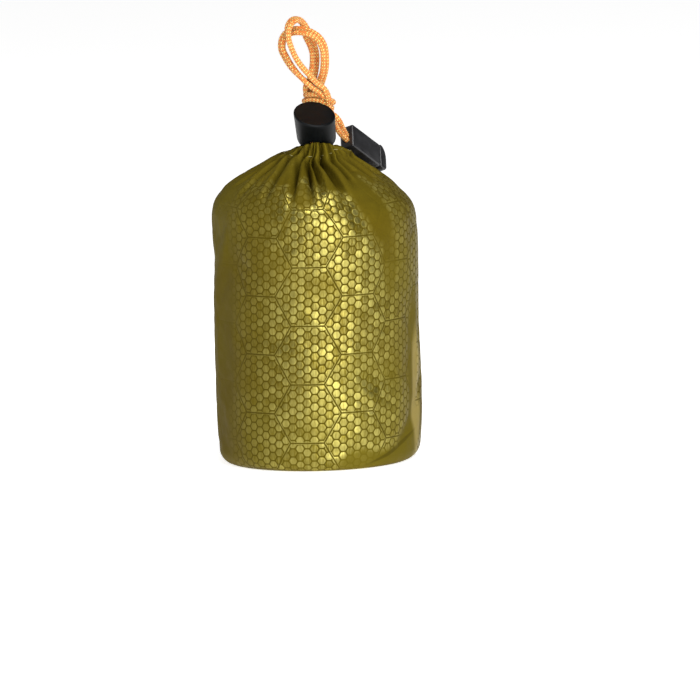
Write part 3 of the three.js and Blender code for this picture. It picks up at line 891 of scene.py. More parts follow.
LOCK_PLASTIC = MouldedPlastic(
    black=(0.0012, 0.0018, 0.0022, 1.0),
    worn=(0.0026, 0.0034, 0.0040, 1.0),
    roughness=0.42,
    specular=0.13,
    name="lock_plastic",
)


@dataclass(frozen=True)
class ThreadFinish:
    """Pale sewing thread."""

    pale: Colour = (0.34, 0.30, 0.12, 1.0)
    dull: Colour = (0.20, 0.17, 0.05, 1.0)
    tint_noise: tuple[float, float] = (700.0, 3.0)
    grain: Grain = Grain(3000.0, 2.0, 0.00005)
    rough: float = 0.55
    name: str = "pale_thread"

    def material(self) -> Material:
        """The thread's material."""
        board = NodeBoard(self.name)
        where = board.object_place()
        return board.finished({
            "Base Color": board.blend(board.noise(*self.tint_noise, where), self.dull, self.pale),
            "Normal": board.grain(self.grain, where),
            "Roughness": self.rough,
        })


@dataclass(frozen=True)
class FloorFinish:
    """A plain pale floor that glows a little, so that it stays white behind the object."""

    near: Colour = (0.91, 0.91, 0.905, 1.0)
    far: Colour = (0.93, 0.93, 0.925, 1.0)
    tint_noise: tuple[float, float] = (3.0, 2.0)
    rough: float = 0.9
    glow: float = 0.79
    name: str = "pale_floor"

    def material(self) -> Material:
        """The floor's material."""
        board = NodeBoard(self.name)
        cloud = board.noise(*self.tint_noise, board.object_place())
        return board.finished({
            "Base Color": board.blend(cloud, self.near, self.far),
            "Roughness": self.rough,
            "Emission Color": WHITE,
            "Emission Strength": self.glow,
        })


def linked(name: str, mesh: Mesh) -> Object:
    """A new object for a mesh, linked to the scene."""
    made = bpy.data.objects.new(name, mesh)
    bpy.context.scene.collection.objects.link(made)
    return made


def shown(name: str, mesh: Mesh, material: Material, slot: Slot) -> Object:
    """Puts a finished mesh in the scene as a piece that rides on the object's one body.

    Args:
        name: the piece's name.
        mesh: its mesh, already in place.
        material: its finish.
        slot: the record's slot that the finish stands for.

    Returns:
        The piece.
    """
    mesh.materials.clear()
    mesh.materials.append(material)
    mesh.polygons.foreach_set("use_smooth", [True] * len(mesh.polygons))
    if slot is Slot.PLASTIC:
        mesh.set_sharp_from_angle(angle=SHARP_ANGLE)
    piece = linked(name, mesh)
    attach(piece, ROOT)
    LOG.info("%s: %d faces", name, len(mesh.polygons))
    return piece


def mesh_of(name: str, bm: BMesh) -> Mesh:
    """Turns a bmesh into a mesh, and frees it."""
    mesh = bpy.data.meshes.new(name)
    bm.to_mesh(mesh)
    bm.free()
    return mesh


def applied(piece: Object) -> Mesh:
    """A copy of a piece's mesh with its modifiers applied."""
    graph = bpy.context.evaluated_depsgraph_get()
    return bpy.data.meshes.new_from_object(piece.evaluated_get(graph))


def cut_from(mesh: Mesh, cutter: Mesh) -> Mesh:
    """A mesh with another one cut out of it."""
    spare, tool = linked("spare", mesh), linked("cutter", cutter)
    cut = spare.modifiers.new("Cut", "BOOLEAN")
    cut.operation, cut.solver, cut.object = "DIFFERENCE", "EXACT", tool
    made = applied(spare)
    for used in (spare, tool):
        bpy.data.objects.remove(used)
    return made


def read(items: bpy.types.bpy_prop_collection, name: str, width: int = 1, kind: type = np.float32) -> Array:
    """One property of many items.

    Args:
        items: the items, such as a mesh's vertices.
        name: the property's name.
        width: how many numbers it holds.
        kind: their type.

    Returns:
        An array, with a row for each item where the property holds more than one number.
    """
    flat = np.empty(width * len(items), kind)
    items.foreach_get(name, flat)
    return flat.reshape(-1, width) if width > 1 else flat


def places_of(mesh: Mesh) -> Array:
    """A mesh's vertices as an array of points."""
    return read(mesh.vertices, "co", 3).astype(float)


def put_places(mesh: Mesh, places: Array) -> None:
    """Moves a mesh's vertices to the points of an array."""
    mesh.vertices.foreach_set("co", places.astype(np.float32).ravel())
    mesh.update()


def rolled_grid(bm: BMesh, columns: int, rows: int) -> tuple[Array, Array]:
    """Adds a flat grid and says where each of its vertices is in it.

    Args:
        bm: the bmesh that it goes in.
        columns: how many faces it has across.
        rows: how many faces it has up.

    Returns:
        The column and the row of each vertex.
    """
    made = bmesh.ops.create_grid(bm, x_segments=columns, y_segments=rows, size=1.0)
    places = np.array([vert.co for vert in made["verts"]])
    across = np.rint((places[:, 0] + 1) / 2 * columns).astype(int)
    up = np.rint((places[:, 1] + 1) / 2 * rows).astype(int)
    return across, up


def lay_out(bm: BMesh, layer_name: str, places: Array, uv: Array) -> None:
    """Moves a grid's vertices to their places, keeps their UVs, and closes the seam and the poles.

    Args:
        bm: the bmesh with the grid.
        layer_name: the UV map's name.
        places: the vertices' points, in metres.
        uv: the vertices' UVs.
    """
    layer = bm.loops.layers.uv.new(layer_name)
    for vert, place, pair in zip(bm.verts, places, uv):
        vert.co = place
        for loop in vert.link_loops:
            loop[layer].uv = pair
    bmesh.ops.remove_doubles(bm, verts=bm.verts, dist=MERGE_DISTANCE)
    bmesh.ops.recalc_face_normals(bm, faces=bm.faces)


def smooth_between(values: Array, at: Array) -> Array:
    """Catmull-Rom between table values, with the end values held.

    Args:
        values: the table's values.
        at: the places in the table, as row numbers with fractions.

    Returns:
        The value at each place.
    """
    last = len(values) - 1
    row = np.minimum(np.floor(at).astype(int), last - 1)
    t = at - row
    a, b, c, d = (values[np.clip(row + k, 0, last)] for k in (-1, 0, 1, 2))
    square = 2 * a - 5 * b + 4 * c - d
    cube = 3 * b - a - 3 * c + d
    return 0.5 * (2 * b + (c - a) * t + square * t**2 + cube * t**3)


def turn_between(a: Array, b: Array) -> Array:
    """The signed difference of angles in degrees, from -180 to 180."""
    return (a - b + 180) % 360 - 180

def bell(away: Array, width: object) -> Array:
    """1 where there is no distance, and less farther away, over a width."""
    return np.exp(-((away / width) ** 2))


@dataclass
class SackForm:
    """The sack's shape as a function of the angle round it and the place along its section.

    A gather is a valley with a low ridge on each side and one side folded over, the other one on each
    gather that turned_every counts. It has its full depth inside full_radius, and deepening makes it
    deeper than in the solids.
    """

    full_radius: float = 13.0
    width_at_stitches: float = 0.58
    widening: float = 0.35
    least_radius: float = 9.0
    deepening: float = 1.95
    fold_over: float = 0.5
    fold_width: float = 1.2
    turned_every: int = 3
    # painted shade along each gather's crease: its width, how much it narrows outwards, and the pleat depth
    # that gives it in full
    crease_shade_width: float = 0.36
    crease_shade_narrowing: float = 0.45
    crease_shade_depth: float = 3.0
    ridge_offset: float = 2.2
    ridge_share: float = 0.22
    share_on_base: float = 0.6
    hollow_least_radius: float = 25.0

    def column(self, name: str) -> Array:
        """One column of the section table."""
        return np.array([getattr(row, name) for row in SECTION], float)

    def along(self, pleat: Pleat, degrees: Array, radius: Array) -> tuple[Array, Array]:
        """Where places lie along and beside a gather.

        Args:
            pleat: the gather.
            degrees: the angles from the front towards +X.
            radius: the distances from the middle.

        Returns:
            How far out each place is, from 0 inside the full radius to 1 at the gather's reach, and how
            far it is from the gather's line in millimetres.
        """
        out = np.clip((radius - self.full_radius) / (pleat.reach - self.full_radius), 0, 1)
        turned = pleat.angle + pleat.lean * (1 - (1 - out) ** 3)
        return out, np.radians(turn_between(degrees, turned)) * radius

    def pleat_depth(self, degrees: Array, radius: Array) -> tuple[Array, Array]:
        """How deep the gathers are, and how far they are folded over.

        Args:
            degrees: the angles from the front towards +X.
            radius: the distances from the middle.

        Returns:
            The depth at each place and how far it is pushed aside, both in millimetres.
        """
        depth, aside = np.zeros_like(degrees), np.zeros_like(degrees)
        for index, pleat in enumerate(PLEATS):
            out, away = self.along(pleat, degrees, radius)
            fade = (1 - out**3) ** 1.5
            width = pleat.width * (self.width_at_stitches + self.widening * out)
            ridges = bell(np.abs(away) - self.ridge_offset * width, width)
            depth += self.deepening * pleat.depth * fade * (bell(away, width) - self.ridge_share * ridges)
            way = 1 if index % self.turned_every else -1
            folded = bell(away - way * width, self.fold_width * width)
            aside += way * self.fold_over * pleat.depth * fade * folded
        return depth, aside

    def crease_shade_share(self, degrees: Array, radius: Array) -> Array:
        """The painted shade along the thin crease at the bottom of each gather: how dark it is.

        Args:
            degrees: the angles from the front towards +X.
            radius: the distances from the middle.

        Returns:
            A share from 0 to 1 at each place.
        """
        share = np.zeros_like(degrees)
        for pleat in PLEATS:
            out, away = self.along(pleat, degrees, radius)
            width = pleat.width * self.crease_shade_width * (1 - self.crease_shade_narrowing * out)
            deep = min(1.0, pleat.depth / self.crease_shade_depth)
            share = np.maximum(share, deep * (1 - out**2) * bell(away, width))
        return share

    def hollow_depth(self, degrees: Array, z: Array) -> Array:
        """How far the wall is drawn in by its hollows."""
        depth = np.zeros_like(degrees)
        for hollow in HOLLOWS:
            up = z - hollow.z
            around = np.radians(turn_between(degrees, hollow.angle)) * SACK_RADIUS - hollow.lean * up
            depth += hollow.depth * np.exp(-((around / hollow.width) ** 2) - (up / hollow.height) ** 2)
        return depth

    def points(self, degrees: Array, rows: Array) -> Array:
        """Places on the sack.

        Args:
            degrees: the angles from the front towards +X.
            rows: the places along the section, as row numbers with fractions.

        Returns:
            An array of points, in metres.
        """
        names = ("z", "rx", "ry", "x", "y", "inward", "down", "rise")
        z, rx, ry, x, y, inward, down, rise = (smooth_between(self.column(n), rows) for n in names)
        z = np.maximum(z, 0)
        turning_radius = np.maximum(rx, self.least_radius)
        pleat, aside = self.pleat_depth(degrees, turning_radius)
        share = np.where(z > 0, 1.0, self.share_on_base)
        hollow = np.where(rx > self.hollow_least_radius, share * self.hollow_depth(degrees, z), 0)
        drawn = inward * pleat + hollow
        angle = np.radians(degrees) - np.minimum(1, down + inward) * aside / turning_radius
        front = np.maximum(0, np.cos(angle))
        axes = (
            x + (rx - drawn) * np.sin(angle),
            y - (ry - drawn) * np.cos(angle),
            z + rise * front**2 - down * pleat,
        )
        return np.stack(axes, axis=-1) * MM


@dataclass(frozen=True)
class Settling:
    """How the cloth settles: under a little pressure from inside, grown a little, and held at its base and
    round its mouth. The hold's heights and radii are in millimetres, and no vertex moves past the cap."""

    frames: int = 18
    quality: int = 5
    pressure: float = 1.2
    growth: float = 0.005
    tension: float = 15.0
    bending: float = 0.02
    mass: float = 0.0003
    damping: float = 5.0
    cap: float = 0.8
    base_hold: float = 3.0
    mouth_hold: float = 36.0
    mouth_fade: float = 12.0

    def held(self, places: Array) -> Array:
        """How firmly each vertex is held.

        Args:
            places: the vertices, in millimetres.

        Returns:
            1 on the base and round the mouth, and less near them, in tenths.
        """
        height, radius = places[:, 2], np.hypot(places[:, 0], places[:, 1])
        base = np.clip((self.base_hold - height) / self.base_hold, 0, 1)
        mouth = np.clip((self.mouth_hold - radius) / self.mouth_fade, 0, 1)
        return np.round(np.maximum(base, np.where(height > self.base_hold, mouth, 0)), 1)

    def settle(self, mesh: Mesh) -> None:
        """Runs the simulation on a copy of a mesh and gives the mesh its places.

        Args:
            mesh: the sheet, which is changed.
        """
        before = places_of(mesh)
        held = self.held(before / MM)
        spare = linked("cloth_spare", mesh.copy())
        pins = spare.vertex_groups.new(name="held")
        for level in np.unique(held[held > 0]):
            pins.add(np.flatnonzero(held == level).tolist(), float(level), "REPLACE")
        cloth = spare.modifiers.new("Cloth", "CLOTH")
        cloth.point_cache.frame_start, cloth.point_cache.frame_end = 1, self.frames
        cloth.collision_settings.use_collision = False
        rules = cloth.settings
        rules.vertex_group_mass = pins.name
        rules.quality, rules.mass = self.quality, self.mass
        rules.tension_stiffness = rules.compression_stiffness = rules.shear_stiffness = self.tension
        rules.bending_stiffness = self.bending
        rules.tension_damping = rules.compression_damping = rules.shear_damping = self.damping
        rules.use_pressure, rules.uniform_pressure_force = True, self.pressure
        rules.shrink_min = -self.growth
        rules.effector_weights.gravity = 0.0
        scene = bpy.context.scene
        for frame in range(1, self.frames + 1):
            scene.frame_set(frame)
        moved = places_of(applied(spare)) - before
        bpy.data.objects.remove(spare)
        scene.frame_set(1)
        far = np.linalg.norm(moved, axis=1) / MM
        share = np.minimum(1, self.cap / np.maximum(far, self.cap))
        LOG.info("cloth settled: mean %.2f mm, most %.2f mm before the cap", far.mean(), far.max())
        put_places(mesh, before + moved * share[:, None])


@dataclass
class Sack:
    """The filled sack: its cloth and its emboss.

    The datum is the cloth's own height at DATUM_ROW. The larger net's grooves lie in groove_span of the
    cloth's height, and groove_fades is how far from its ends they reach their full depth.
    """

    columns: int = 184
    rows_on_base: int = 9
    rows_on_wall: int = 62
    rows_on_top: int = 34
    seam_angle: float = 88.0
    datum: float = 90.0
    section_samples: int = 4000
    groove_depth: float = 0.09
    groove_width: float = 0.8
    groove_span: tuple[float, float] = (44.0, 143.0)
    groove_fades: tuple[float, float] = (4.0, 8.0)
    fill: float = 0.8
    grain_lean: float = 0.035
    form: SackForm = field(default_factory=SackForm)
    settling: Settling = field(default_factory=Settling)
    finish: FilmCloth = field(default_factory=FilmCloth)

    def stations(self) -> tuple[Array, Array]:
        """Where the grid's rings lie.

        Returns:
            The rings' places along the section, and the cloth's length up to each in millimetres.
        """
        fine = np.linspace(0, len(SECTION) - 1, self.section_samples)
        radius, height = (smooth_between(self.form.column(name), fine) for name in ("rx", "z"))
        length = np.concatenate([[0], np.cumsum(np.hypot(np.diff(radius), np.diff(height)))])
        foot, level, shoulder = np.interp((WALL_FOOT_ROW, DATUM_ROW, SHOULDER_ROW), fine, length)
        marks = np.concatenate([
            np.linspace(0, foot, self.rows_on_base, endpoint=False),
            np.linspace(foot, shoulder, self.rows_on_wall, endpoint=False),
            np.linspace(shoulder, length[-1], self.rows_on_top),
        ])
        return np.interp(marks, length, fine), marks - level + self.datum

    def sheet(self) -> Mesh:
        """The cloth as one closed sheet: a grid rolled into the sack's form, its seam and poles welded."""
        rows, marks = self.stations()
        bm = bmesh.new()
        across, up = rolled_grid(bm, self.columns, len(rows) + 1)
        ring = np.clip(up - 1, 0, len(rows) - 1)
        degrees = self.seam_angle + 360.0 * across / self.columns
        places = self.form.points(degrees, rows[ring])
        for pole, beside in ((0, 1), (len(rows) + 1, len(rows))):
            places[up == pole] = places[up == beside].mean(axis=0)
        girth = 2 * math.pi * SACK_RADIUS
        around = across / self.columns * girth - self.grain_lean * (marks[ring] - self.datum)
        uv = np.stack([around, marks[ring]], axis=-1) / UV_SPAN_MM
        lay_out(bm, self.finish.layer, places, uv)
        return mesh_of("sack_sheet", bm)

    def mark_crease_shade(self, mesh: Mesh) -> None:
        """Keeps the painted shade along the creases at each vertex, for the cloth's finish.

        Args:
            mesh: the refined sheet.
        """
        x, y, _ = places_of(mesh).T / MM
        radius = np.maximum(np.hypot(x, y), self.form.least_radius)
        share = self.form.crease_shade_share(np.degrees(np.arctan2(x, -y)), radius)
        layer = mesh.attributes.new(self.finish.crease_shade_layer, "FLOAT", "POINT")
        layer.data.foreach_set("value", share.astype(np.float32))

    def refined(self, mesh: Mesh) -> Mesh:
        """The sheet with one subdivision, applied."""
        spare = linked("sack_spare", mesh)
        smoother = spare.modifiers.new("Subdivision", "SUBSURF")
        smoother.levels = smoother.render_levels = 1
        fine = applied(spare)
        bpy.data.objects.remove(spare)
        return fine

    def emboss(self, mesh: Mesh) -> None:
        """Presses the larger net's grooves into the cloth.

        Args:
            mesh: the refined sheet.
        """
        uv = np.zeros((len(mesh.vertices), 2))
        corners = read(mesh.loops, "vertex_index", kind=np.int32)
        uv[corners] = read(mesh.uv_layers[self.finish.layer].data, "uv", 2) * UV_SPAN_MM
        groove = bell(self.finish.big.edge_distance(uv[:, 0], uv[:, 1]), self.groove_width)
        (low, high), (low_fade, high_fade) = self.groove_span, self.groove_fades
        on_wall = np.clip((uv[:, 1] - low) / low_fade, 0, 1) * np.clip((high - uv[:, 1]) / high_fade, 0, 1)
        sink = self.groove_depth * groove * on_wall * MM
        put_places(mesh, places_of(mesh) - read(mesh.vertices, "normal", 3) * sink[:, None])

    def build(self) -> Object:
        sheet = self.sheet()
        self.settling.settle(sheet)
        mesh = self.refined(sheet)
        self.emboss(mesh)
        self.mark_crease_shade(mesh)
        piece = shown("sack_cloth_body", mesh, self.finish.material(), Slot.CLOTH)
        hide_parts("sack")
        return piece


@dataclass
class ChannelStitches:
    """The pale stitches that close the drawstring's channel.

    The row is their place along the section. Right of the front it rises, by rise_shares of the rise at
    the angles of rise_marks.
    """

    count: int = 38
    length: float = 1.8
    radius: float = 0.12
    proud: float = 0.06
    half_span: float = 2.0
    row: float = STITCH_ROW - 0.4
    rise: float = 2.4
    rise_marks: tuple[float, ...] = (0.0, 8.0, 40.0, 75.0, 120.0)
    rise_shares: tuple[float, ...] = (0.0, 0.0, 1.0, 1.0, 0.0)
    seed: int = 7
    stray: float = 0.12
    sizes: tuple[float, float] = (0.8, 1.15)
    form: SackForm = field(default_factory=SackForm)
    finish: ThreadFinish = field(default_factory=ThreadFinish)

    def build(self, cloth: Object) -> Object:
        """Lays the stitches on the cloth.

        Args:
            cloth: the finished cloth that they lie on.

        Returns:
            The stitches, joined.
        """
        dice = random.Random(self.seed)
        tree = BVHTree.FromPolygons(
            [vert.co for vert in cloth.data.vertices],
            [face.vertices for face in cloth.data.polygons],
        )
        bm = bmesh.new()
        for index in range(self.count):
            degrees = 360 * (index + dice.uniform(-self.stray, self.stray)) / self.count
            lift = self.rise * float(np.interp(degrees, self.rise_marks, self.rise_shares))
            row = self.row + lift + dice.uniform(-self.stray, self.stray)
            self.stitch(bm, tree, degrees, row, dice.uniform(*self.sizes))
        mesh = mesh_of("channel_stitches", bm)
        return shown("channel_stitches", mesh, self.finish.material(), Slot.CLOTH)

    def stitch(self, bm: BMesh, tree: BVHTree, degrees: float, row: float, size: float) -> None:
        """Adds one stitch: a small capsule that lies on the cloth.

        Args:
            bm: the bmesh that it goes in.
            tree: the cloth's faces.
            degrees: the angle of its middle.
            row: its place along the section.
            size: its length as a share of the usual one.
        """
        pair = np.array([degrees - self.half_span, degrees + self.half_span])
        ends = self.form.points(pair, np.full(2, row))
        middle, normal, _, _ = tree.find_nearest(Vector(ends.mean(axis=0)))
        along = Vector(ends[1] - ends[0])
        along = (along - normal * along.dot(normal)).normalized()
        side = normal.cross(along)
        made = bmesh.ops.create_icosphere(bm, subdivisions=2, radius=1.0)["verts"]
        half = (0.5 * self.length * size * MM, self.radius * MM, self.radius * MM)
        turn = Matrix((along * half[0], side * half[1], normal * half[2])).transposed().to_4x4()
        place = Matrix.Translation(middle + normal * self.proud * MM)
        bmesh.ops.transform(bm, matrix=place @ turn, verts=made)


def paired(rows: list[tuple[float, ...]], side: CordSide) -> Array:
    """One cord's own points beside the middle of the pair.

    Args:
        rows: the route's points with the way across the pair.
        side: which cord.

    Returns:
        The points, in millimetres.
    """
    table = np.array(rows, float)
    middle = table[:, :3]
    points = []
    for index, row in enumerate(table):
        along = middle[min(index + 1, len(middle) - 1)] - middle[max(index - 1, 0)]
        along /= np.linalg.norm(along)
        across = row[3:] - along * np.dot(along, row[3:])
        points.append(middle[index] + across / np.linalg.norm(across) * side.value * PAIR_PITCH / 2)
    return np.array(points)


def between(a: Array, b: Array, low: float, high: float, t: float) -> Array:
    """The point at t on the line that passes a at low and b at high."""
    return ((high - t) * a + (t - low) * b) / (high - low)


def curve_through(points: Array, spacing: float, steps: int = 12) -> Array:
    """A centripetal Catmull-Rom curve through points, at an even spacing.

    Args:
        points: the points that it passes.
        spacing: the distance between the returned points.
        steps: how finely each stretch is worked out.

    Returns:
        Points along the curve.
    """
    held = np.vstack([2 * points[0] - points[1], points, 2 * points[-1] - points[-2]])
    fine = []
    for a, b, c, d in zip(held, held[1:], held[2:], held[3:]):
        t1 = math.sqrt(np.linalg.norm(b - a))
        t2 = t1 + math.sqrt(np.linalg.norm(c - b))
        t3 = t2 + math.sqrt(np.linalg.norm(d - c))
        for t in np.linspace(t1, t2, steps, endpoint=False):
            one = between(a, b, 0, t1, t)
            two = between(b, c, t1, t2, t)
            three = between(c, d, t2, t3, t)
            fine.append(between(between(one, two, 0, t2, t), between(two, three, t1, t3, t), t1, t2, t))
    fine.append(points[-1])
    line = np.array(fine)
    length = np.concatenate([[0], np.cumsum(np.linalg.norm(np.diff(line, axis=0), axis=1))])
    marks = np.linspace(0, length[-1], int(round(length[-1] / spacing)) + 1)
    return np.stack([np.interp(marks, length, line[:, axis]) for axis in range(3)], axis=-1)


@dataclass
class Drawstring:
    """The doubled cord: out of the channel, through the lock, knotted, looped twice and into its end.

    The relief is how far the strands' crowns stand over the gaps between them, and mean_height is the
    share of it that lies inside the cord's own radius.
    """

    around: int = 32
    spacing: float = 0.25
    relief: float = 0.14
    mean_height: float = 0.6
    first_side: Point = (0.3, 0.2, 1.0)
    knot_middle: Point = (3.1, 4.15, 135.2)
    knot_half: tuple[float, float] = (5.1, 3.7)
    knot_tilt: float = 16.5
    knot_droop: float = 0.07
    wrap_turns: tuple[float, float] = (135.0, 380.0)
    wrap_points: int = 8
    wrap_across: Point = (0.27, 0.0, 1.0)
    finish: BraidFinish = field(default_factory=BraidFinish)

    def wrap(self) -> list[tuple[float, ...]]:
        """The turn of the pair round the knot's core."""
        x, y, z = self.knot_middle
        slope = math.tan(math.radians(self.knot_tilt))
        rows = []
        for turn in np.radians(np.linspace(*self.wrap_turns, self.wrap_points)):
            aside = self.knot_half[0] * math.cos(turn)
            height = z - aside * slope - self.knot_droop * aside**2
            rows.append((x + aside, y + self.knot_half[1] * math.sin(turn), height, *self.wrap_across))
        return rows

    def route(self) -> list[tuple[float, ...]]:
        """The whole route of the pair, from the channel to the cord end."""
        knot = [*INTO_WRAP, *self.wrap(), *OUT_OF_WRAP]
        return [*NECK, *UP_THROUGH_KNOT, *OUTER_LOOP, *knot, *INNER_LOOP, *DOWN_THROUGH_KNOT, *TAIL]

    def tube(self, line: Array) -> Mesh:
        """A braided tube along a line, closed at both ends.

        Args:
            line: evenly spaced points, in millimetres.

        Returns:
            Its mesh.
        """
        tangents = np.gradient(line, axis=0)
        tangents /= np.linalg.norm(tangents, axis=1)[:, None]
        side = np.cross(tangents[0], self.first_side)
        sides = []
        for tangent in tangents:
            side = side - tangent * np.dot(side, tangent)
            side /= np.linalg.norm(side)
            sides.append(side)
        sides = np.array(sides)
        others = np.cross(tangents, sides)
        bm = bmesh.new()
        across, up = rolled_grid(bm, self.around, len(line) + 1)
        ring = np.clip(up - 1, 0, len(line) - 1)
        turn = across / self.around
        along = ring * self.spacing
        crossings = self.finish.crossings(turn, along)
        radius = CORD_DIAMETER / 2 - self.relief * (self.mean_height - crossings)
        radius = np.where((up == 0) | (up == len(line) + 1), 0, radius)
        angle = 2 * math.pi * turn
        out = np.cos(angle)[:, None] * sides[ring] + np.sin(angle)[:, None] * others[ring]
        places = (line[ring] + out * radius[:, None]) * MM
        uv = np.stack([turn, along / UV_SPAN_MM], axis=-1)
        lay_out(bm, self.finish.layer, places, uv)
        return mesh_of("cord", bm)

    def build(self, fittings: list[Object]) -> None:
        """Makes both cords.

        Args:
            fittings: the separate pieces on the cords; not used.
        """
        material = self.finish.material()
        nodes = {
            CordSide.A: ("cord_a_neck", "cord_a_outer_loop", "cord_a_inner_loop", "cord_b_tail"),
            CordSide.B: ("cord_b_neck", "cord_b_outer_loop", "cord_b_inner_loop", "cord_a_tail"),
        }
        for side in CordSide:
            line = curve_through(paired(self.route(), side), self.spacing)
            piece = shown(f"drawstring_{side.name.lower()}", self.tube(line), material, Slot.CORD)
            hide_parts(*nodes[side], "cord_knot")
            length = float(np.linalg.norm(np.diff(line, axis=0), axis=1).sum()) * MM
            LOG.info("%s: %.4f m long", piece.name, length)


@dataclass
class BarrelLock:
    """The barrel cord lock: a drum with a slightly dished top, a round lower edge and a bore across it.

    The dish is how deep the top lies at its edge, on dish_way of the radius and in its middle. The
    underside is flat, with one ring of points on it, and foot_shift is how far it leans towards +X.
    """

    radius: float = 7.7
    length: float = 13.5
    fillet: float = 3.2
    taper: float = 0.4
    top_slope: float = 0.14
    foot_shift: float = 0.7
    rim: float = 0.55
    dish: Point = (0.03, 0.16, 0.2)
    dish_way: float = 0.6
    inner_ring: float = 2.0
    bore_depth: float = 9.0
    bore_wide: float = 5.0
    bore_high: float = 2.7
    top: Point = LOCK_TOP
    tilt: float = LOCK_TILT
    steps: int = 96

    def outline(self) -> list[tuple[float, float]]:
        """The drum's profile as radius and height, from the middle of its foot to the middle of its top."""
        rows = [(0.0, -self.length), (self.inner_ring, -self.length)]
        for turn in np.radians(np.linspace(0, 90, 9)):
            inset = self.taper + self.fillet * (1 - math.sin(turn))
            rows.append((self.radius - inset, -self.length + self.fillet * (1 - math.cos(turn))))
        rows.append((self.radius, -2 * self.rim))
        for turn in np.radians(np.linspace(0, 90, 5)):
            rows.append((self.radius - self.rim * (1 - math.cos(turn)), -self.rim * (1 - math.sin(turn))))
        ways = (self.radius - 2 * self.rim, self.dish_way * self.radius, 0.0)
        return rows + [(way, -deep) for way, deep in zip(ways, self.dish)]

    def drum(self) -> Mesh:
        """The drum without its bore, standing at the origin with its top at zero."""
        bm = bmesh.new()
        verts = [bm.verts.new((r * MM, 0, z * MM)) for r, z in self.outline()]
        edges = [bm.edges.new(pair) for pair in zip(verts, verts[1:])]
        bmesh.ops.spin(
            bm, geom=verts + edges, cent=(0, 0, 0), axis=(0, 0, 1), angle=2 * math.pi,
            steps=self.steps, use_merge=True, use_duplicate=False,
        )
        bmesh.ops.remove_doubles(bm, verts=bm.verts, dist=MERGE_DISTANCE)
        for vert in bm.verts:
            share = 1 + vert.co.z / (self.length * MM)
            vert.co.z -= self.top_slope * share * vert.co.x
            vert.co.x += self.foot_shift * (1 - share) * MM
        bmesh.ops.recalc_face_normals(bm, faces=bm.faces)
        return mesh_of("drum", bm)

    def build(self, material: Material) -> Object:
        """Makes the lock.

        Args:
            material: its finish.

        Returns:
            The lock.
        """
        bore = slot_cutter(self.bore_wide, self.bore_high, 3 * self.radius, -self.bore_depth)
        mesh = cut_from(self.drum(), bore)
        tilt = Matrix.Rotation(math.radians(self.tilt), 4, "X")
        mesh.transform(Matrix.Translation(Vector(self.top) * MM) @ tilt)
        piece = shown("barrel_lock", mesh, material, Slot.PLASTIC)
        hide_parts("cord_lock")
        return piece


def slot_cutter(wide: float, high: float, length: float, z: float) -> Mesh:
    """A bar with round edges along Y, for cutting a cord's bore.

    Args:
        wide: its width along X, in millimetres.
        high: its height, in millimetres.
        length: its length, in millimetres.
        z: the height of its middle, in millimetres.

    Returns:
        Its mesh.
    """
    bm = bmesh.new()
    bmesh.ops.create_cube(bm, size=MM)
    bmesh.ops.scale(bm, vec=(wide, length, high), verts=bm.verts)
    bmesh.ops.translate(bm, vec=(0, 0, z * MM), verts=bm.verts)
    half = 0.5 * length * MM
    long_edges = [edge for edge in bm.edges if abs(edge.verts[0].co.y - edge.verts[1].co.y) > half]
    bmesh.ops.bevel(
        bm, geom=long_edges, offset=0.49 * high * MM, offset_type="OFFSET", affect="EDGES",
        segments=6, profile=0.5, material=-1,
    )
    return mesh_of("slot_cutter", bm)


